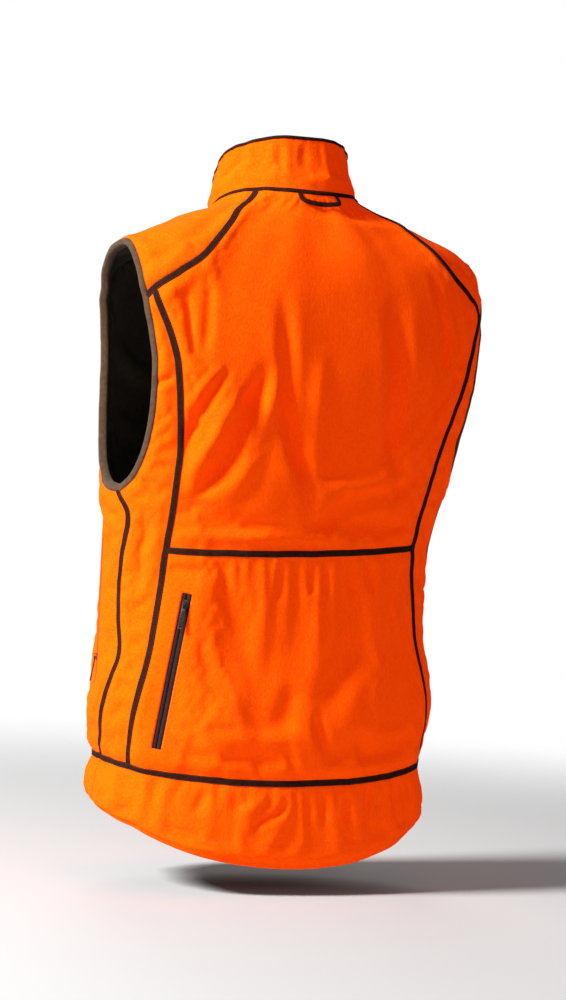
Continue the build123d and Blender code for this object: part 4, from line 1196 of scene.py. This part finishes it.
cloth("upper_back_cloth", "upper_back_panel", upper_back(), flat=(0.45, 0.44, 0.75), **orange)
cloth("lower_back_cloth", "lower_back_panel", lower_back(), flat=(0.46, 0.27, 0.85), **orange)
cloth("back_hem_cloth", "back_hem_panel", band((-side_foot, -45, 0, 45, side_foot), 0.0, hem_top, True),
      flat=(0.52, 0.13, 0.85), **orange)
collar = (edge_maker(-1), -90, 0, 90, edge_maker(1))
cloth("collar_cloth", "collar_outer", band(collar, COLLAR_SEAM + LEVEL_GAP, RIM),
      flat=(0.50, 0.07, 0.95), **orange)
cloth("collar_inner_cloth", "collar_lining", band(collar, COLLAR_SEAM - LINING_LAP, RIM),
      flat=(0.46, 0.07, 0.95), **olive)
cloth("back_lining_cloth", "back_lining", back_lining(), flat=(0.52, 0.76, 0.85), **olive)
for side, hand in HANDS:
    cloth(f"{hand}_back_side_cloth", f"{hand}_back_side_panel", back_side(side),
          flat=(0.11, 0.54, 0.47), **orange)
    cloth(f"{hand}_shoulder_cloth", f"{hand}_shoulder_panel", shoulder(side),
          flat=(0.24, 0.18, 0.7), **orange)
    cloth(f"{hand}_front_cloth", f"{hand}_front_panel", front_panel(side), flat=(0.29, 0.62, 0.86), **orange)
    edges = in_order(side, side * (side_foot + 0.4), edge_maker(side))
    cloth(f"{hand}_front_hem_cloth", f"{hand}_front_hem_panel",
          band((edges[0], side * MID_FRONT, edges[1]), 0.0, hem_top, True), flat=(0.24, 0.10, 0.93), **orange)
    cloth(f"{hand}_front_lining_cloth", f"{hand}_front_lining", front_lining(side),
          flat=(0.29, 0.70, 0.83), **olive)
    cloth(f"{hand}_hand_pocket_bag_cloth", f"{hand}_hand_pocket_bag",
          bag(side, (84, 126, 1.95), (84, 126, 4.25)), flat=(0.12, 0.21, 0.85), **pocket)
cloth("back_pocket_bag_cloth", "back_pocket_bag", bag(1, (26, 64, 1.65), (16, 46, 3.8)),
      flat=(0.12, 0.20, 0.86), **pocket)

# ---------------------------------------------------------------- trim


def domed(width, low=1.15, edge=1.7, high=2.35):
    """Section of a folded tape: flat below, softly domed above."""
    half = width / 2
    shares = (-1.0, -0.96, -0.75, -0.35, 0.0, 0.35, 0.75, 0.96, 1.0)
    tops = [edge + (high - edge) * (1 - share * share) for share in shares[1:-1]]
    crown = [(share * half, top) for share, top in zip(shares[1:-1], tops)]
    return [(-half, low)] + crown + [(half, low), (0.0, low)]


def hem_binding(lip, reach, outside=2.3, inside=-7.9):
    """Section of a folded tape round the edge of shell and lining, which lies at across = 0."""
    over = [(-lip, 1.25), (-lip, 1.8), (-lip * 0.6, outside), (0.0, outside)]
    edge = [(reach * 0.8, 1.2), (reach, -1.0), (reach, -4.5), (reach * 0.75, -6.8)]
    under = [(0.0, inside), (-lip * 0.7, inside), (-lip, -7.5), (-lip, -7.0)]
    fold = [(0.2, -6.95), (0.35, -5.5), (0.35, -0.5), (0.2, 1.2)]
    return over + edge + under + fold


STITCH_ROWS = (-2.95, 2.95)
trim = dict(material=PIPING, slot="brown_tape")
runs = []
for side, hand in HANDS:
    for name, curve, ends, high in (
            ("princess_piping", seam(PRINCESS, side), (1.0, 4.0), 2.3),
            ("yoke_back_piping", seam(DIAGONAL, side), (4.5, 1.0), 2.42),
            ("yoke_front_piping", seam(FRONT_YOKE, side), (4.5, 1.0), 2.42),
            ("side_piping", seam(SIDE_SEAM, side), (1.0, 4.0), 2.3)):
        line = trimmed(curve, *ends)
        tape(f"{hand}_{name}_tape", f"{hand}_{name}", line, domed(7.5, high=high), wander=0.12, **trim)
        runs += [(line, across, high - 0.45) for across in STITCH_ROWS]
    around = armhole_arc(side, -90, -90 + side * 360)
    tape(f"{hand}_armhole_rib", f"{hand}_armhole_binding", around, hem_binding(6.2, 1.9), RIB, "armhole_knit",
         pitch=0.9, loop=True, rib=0.16)
waist = straight((-PRINCESS[3][0], WAIST), (PRINCESS[3][0], WAIST))
around_hem = hem_line(HEM_SEAM)
neck = front_edge(1, COLLAR_SEAM, COLLAR_SEAM)(0.0)[0]
collar_line = straight((neck, COLLAR_SEAM), (-neck, COLLAR_SEAM))
tape("waist_piping_tape", "waist_piping", trimmed(waist, 1.5, 1.5), domed(7.5, high=2.36), wander=0.12,
     **trim)
tape("hem_piping_tape", "hem_piping", around_hem, domed(7.5, high=2.5), wander=0.12, **trim)
tape("collar_seam_tape", "collar_seam_piping", collar_line, domed(5.2, high=2.5), wander=0.1, **trim)
for line, rise in ((waist, 1.9), (around_hem, 2.05)):
    runs += [(line, across, rise) for across in STITCH_ROWS]
rim_edge = front_edge(1, RIM, RIM)(0.0)[0]
rim_line = straight((rim_edge, RIM), (-rim_edge, RIM))
tape("collar_rim_tape", "collar_top_binding", rim_line, hem_binding(3.0, 1.3), **trim)
LOOP = ((15.5, 8.95), (14.7, 8.80), (11, 8.70), (0, 8.67), (-11, 8.70), (-14.7, 8.80), (-15.5, 8.95))
tape("hanger_loop_tape", "hanger_loop", seam(LOOP), domed(5.6, 1.35, 2.0, 2.3), pitch=1.5,
     rise=lambda t: 2.6 * np.sin(math.pi * t) - 0.1, **trim)
stitches("piping_stitches", runs, BROWN_THREAD, "brown_tape")

# orange topstitching: the hem, the front edges, and round each pocket zip
orange_runs = [(hem_line(0.5), 0.0, 1.05)]
for side, hand in HANDS:
    orange_runs.append((front_edge(side, 0.02, COLLAR_SEAM - 0.05, FRONT_HALF + 5.0), 0.0, 1.08))
    orange_runs.append((front_edge(side, COLLAR_SEAM + 0.05, RIM - 0.05, FRONT_HALF + 5.0), 0.0, 1.08))
for zipper in stiff:
    for hand in (1, -1):
        line = slot_edge(zipper, hand)
        orange_runs.append((line, 1.6 * (-hand), 1.08))
stitches("orange_stitches", orange_runs, ORANGE_THREAD, "orange_fleece", radius=0.24)

# ---------------------------------------------------------------- zips


def tape_section(hand, inner, edge, outer, deep):
    """Zip tape beside the teeth: flat to the slot's edge, then down behind the shell."""
    top = [(inner, 0.3), (edge - 1.4, 0.3), (edge - 0.4, -0.5), (edge + 0.8, deep + 0.6), (outer, deep + 0.6)]
    under = [(outer, deep), (edge + 0.4, deep), (edge - 0.9, -1.1), (edge - 1.8, -0.3), (inner, -0.3)]
    section = [(hand * a, b) for a, b in top + under]
    return section[::-1] if hand > 0 else section


def zip_tapes(name, nodes, zipper, inner, edge, outer, deep, start, end):
    parts = [bar(zipper, tape_section(hand, inner, edge, outer, deep), start, end)
             for hand in ((1, -1) if isinstance(nodes, str) else (nodes[0],))]
    points, quads, uv = join(parts)
    obj = make_object(name, points, quads, ZIP_TAPE, uv)
    declare(obj, nodes if isinstance(nodes, str) else nodes[1], "zip_tape")
    return obj


def helix(zipper, hand, start, end, pitch=1.45):
    """Coil of one tape."""
    turns = (end - start) / pitch
    steps, sides = int(turns * 10), 5
    angle = np.linspace(0, turns * 2 * math.pi, steps)
    along = start + pitch * angle / (2 * math.pi)
    aside = hand * (1.62 - 0.93 * np.cos(angle))
    out = -1.0 + 0.42 * np.sin(angle)
    path = zipper.at(along, aside, out)
    run = unit(np.gradient(path, axis=0))
    first = unit(np.cross(run, zipper.along))
    second = np.cross(run, first)
    around = np.linspace(0, 2 * math.pi, sides, endpoint=False)
    points = path[:, None] + 0.28 * (np.cos(around)[None, :, None] * first[:, None]
                                     + np.sin(around)[None, :, None] * second[:, None])
    return points.reshape(-1, 3), tube_faces(steps, sides), np.zeros((steps * sides, 2))


def moulded_teeth(zipper, hand, start, end, pitch=2.9):
    """Row of moulded teeth on one tape, each with a rounded head."""
    half_outline = [(3.0, 0.62), (2.2, 0.55), (1.65, 0.50), (1.25, 0.86), (0.85, 0.90), (0.50, 0.52)]
    outline = np.array(half_outline + [(x, -y) for x, y in half_outline[::-1]])
    layers = ((0.80, 1.15), (1.0, 0.85), (1.0, -0.85), (0.80, -1.15))
    middle = outline.mean(0)
    shift = 0.0 if hand > 0 else pitch / 2
    parts = []
    for along in np.arange(start + 1.0 + shift, end - 1.0, pitch):
        rings = []
        for scale, out in layers:
            aside, ahead = (middle + (outline - middle) * scale).T
            rings.append(zipper.at(along + ahead, hand * aside, out))
        points = np.concatenate(rings)
        m = len(outline)
        faces = []
        for k in range(3):
            for j in range(m):
                n = (j + 1) % m
                faces.append([k * m + j, k * m + n, (k + 1) * m + n, (k + 1) * m + j])
        faces += [list(range(m))[::-1], list(range(3 * m, 4 * m))]
        if hand < 0:
            faces = [f[::-1] for f in faces]
        parts.append((points, faces, np.zeros((len(points), 2))))
    return join(parts)


# pocket zips
pockets = {"back_pocket": back_zip, "left_hand_pocket": hand_zips[1], "right_hand_pocket": hand_zips[-1]}
for name, zipper in pockets.items():
    long = zipper.length
    zip_tapes(f"{name}_zip_tapes", f"{name}_tapes", zipper, 0.22, 5.6, 9.5, -2.3, -9.0, long + 9.0)
    parts = [helix(zipper, hand, 3.1, long - 3.1) for hand in (1, -1)]
    points, faces, uv = join(parts)
    declare(make_object(f"{name}_zip_coil", points, faces, COIL, uv), f"{name}_coil", "zip_plastic")

# front zip
long = front_zip.length
wearer_left = 1 if front_zip.aside[0] > 0 else -1
for side, hand in HANDS:
    turned = side * wearer_left
    zip_tapes(f"{hand}_front_zip_tape", (turned, f"{hand}_front_tape"), front_zip, 2.9, 8.5, 14.5, -2.4,
              0.0, long)
    points, faces, uv = moulded_teeth(front_zip, turned, 22.0, long - 3.0)
    teeth = make_object(f"{hand}_front_zip_teeth", points, faces, TEETH, uv)
    declare(teeth, f"{hand}_front_teeth", "zip_plastic")
guard_section = [(-16, -4.4), (16, -4.4), (16, -5.2), (-16, -5.2)]
points, faces, uv = bar(front_zip, guard_section[::-1], 4.0, long - 4.0)
guard = make_object("front_zip_guard_cloth", points, faces, OLIVE, uv)
declare(guard, "front_zip_guard", "olive_lining")

# carried-over hard parts


EASE = 0.22  # rounding of the sliders' and pullers' edges


def rounded(name, material, slot):
    """New piece with a hard part's shape and rounded edges, which stands for that part."""
    part = frame["nodes"][name]
    work = bmesh.new()
    work.from_mesh(part.data)
    work.transform(part.matrix_world)
    bmesh.ops.remove_doubles(work, verts=work.verts, dist=1e-6)
    bmesh.ops.dissolve_limit(work, angle_limit=math.radians(2), verts=work.verts, edges=work.edges)
    sharp = [edge for edge in work.edges
             if len(edge.link_faces) == 2 and edge.calc_face_angle_signed() > math.radians(40)]
    bmesh.ops.bevel(work, geom=sharp, offset=EASE * MM, segments=3, profile=0.5, affect="EDGES")
    bmesh.ops.dissolve_degenerate(work, dist=1e-5, edges=work.edges)
    bmesh.ops.remove_doubles(work, verts=work.verts, dist=1e-6)
    mesh = bpy.data.meshes.new(name + "_metal")
    work.to_mesh(mesh)
    work.free()
    mesh.materials.append(material)
    obj = bpy.data.objects.new(name + "_metal", mesh)
    bpy.context.scene.collection.objects.link(obj)
    return declare(obj, name, slot, body_of(part)[0])


bpy.context.view_layer.update()
for name in [n for n in frame["nodes"] if n.endswith(("_slider", "_puller"))]:
    rounded(name, METAL, "zip_metal")
for name in ("front_zip_top_stops", "front_zip_retainer_box", "front_zip_pins", "back_pocket_stops",
             "left_hand_pocket_stops", "right_hand_pocket_stops"):
    frame["nodes"][name].data.materials.clear()
    frame["nodes"][name].data.materials.append(TEETH)

# ---------------------------------------------------------------- floor, light and camera
low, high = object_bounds()
floor_mesh = bpy.data.meshes.new("floor")
FLOOR_HALF, FLOOR_DROP = 2.6, 0.03
floor_z = low.z - FLOOR_DROP
corners = [(x * FLOOR_HALF, y * FLOOR_HALF, floor_z) for x, y in ((-1, -1), (1, -1), (1, 1), (-1, 1))]
floor_mesh.from_pydata(corners, [], [(0, 1, 2, 3)])
floor_material, tree, shader = new_material("floor", (0.50, 0.50, 0.50), 0.9, Specular_IOR_Level=0.1)
where = node(tree, "ShaderNodeTexCoord").outputs["Object"]
reach = node(tree, "ShaderNodeVectorMath", operation="LENGTH")
tree.links.new(where, reach.inputs[0])
clear = node(tree, "ShaderNodeMapRange", in_From_Min=1.15, in_From_Max=2.3)
clear.interpolation_type = "SMOOTHSTEP"
tree.links.new(reach.outputs["Value"], clear.inputs["Value"])
blend = tree.nodes.new("ShaderNodeMixShader")
tree.links.new(clear.outputs["Result"], blend.inputs[0])
tree.links.new(shader.outputs[0], blend.inputs[1])
tree.links.new(tree.nodes.new("ShaderNodeBsdfTransparent").outputs[0], blend.inputs[2])
tree.links.new(blend.outputs[0], tree.nodes["Material Output"].inputs["Surface"])
floor_mesh.materials.append(floor_material)
floor = bpy.data.objects.new("floor", floor_mesh)
bpy.context.scene.collection.objects.link(floor)

AMBIENT, BACKDROP = 0.13, 1.0
world = bpy.data.worlds.new("studio")
world.use_nodes = True
sky = world.node_tree
ray = node(sky, "ShaderNodeLightPath")
backdrop = node(sky, "ShaderNodeMapRange", in_To_Min=AMBIENT, in_To_Max=BACKDROP)
sky.links.new(ray.outputs["Is Camera Ray"], backdrop.inputs["Value"])
sky.links.new(backdrop.outputs["Result"], sky.nodes["Background"].inputs["Strength"])
sky.nodes["Background"].inputs["Color"].default_value = (1.0, 1.0, 1.0, 1)
bpy.context.scene.world = world

AZIMUTH = math.radians(153)
towards = Vector((math.sin(AZIMUTH), -math.cos(AZIMUTH), 0))
CAMERA_AWAY, CAMERA_ROLL = 3.6, math.radians(3)
target = Vector((0.0, 0.010, -0.330))
place_camera = towards * CAMERA_AWAY + Vector((0.0, 0.010, -0.300))
forward = (target - place_camera).normalized()
right = forward.cross(Vector((0, 0, 1))).normalized()
up = right.cross(forward)
c, s = math.cos(CAMERA_ROLL), math.sin(CAMERA_ROLL)
right, up = right * c + up * s, up * c - right * s


def area_light(name, offset, size, power):
    light = bpy.data.lights.new(name, "AREA")
    light.shape = "DISK"
    light.size = size
    light.energy = power
    obj = bpy.data.objects.new(name, light)
    bpy.context.scene.collection.objects.link(obj)
    flat_left = -Vector((right.x, right.y, 0)).normalized()
    spot = target + flat_left * offset[0] + towards * offset[1] + Vector((0, 0, offset[2]))
    obj.location = spot
    obj.rotation_mode = "QUATERNION"
    obj.rotation_quaternion = (target - spot).to_track_quat("-Z", "Y")


area_light("key", (3.0, 1.7, 2.1), 1.0, 410)
area_light("fill", (-2.4, 2.8, 1.2), 1.8, 12)
area_light("front", (0.4, -3.2, 1.8), 1.6, 38)

camera = bpy.data.objects.new("camera", bpy.data.cameras.new("camera"))
bpy.context.scene.collection.objects.link(camera)
camera.location = place_camera
camera.rotation_mode = "QUATERNION"
camera.rotation_quaternion = Matrix((right, up, -forward)).transposed().to_quaternion()
camera.data.lens = 110.16
camera.data.sensor_width = 36.0
camera.data.shift_x = 0.011
camera.data.shift_y = -0.010
camera.data.dof.use_dof = False
bpy.context.scene.camera = camera
bpy.context.scene.view_settings.view_transform = "Standard"
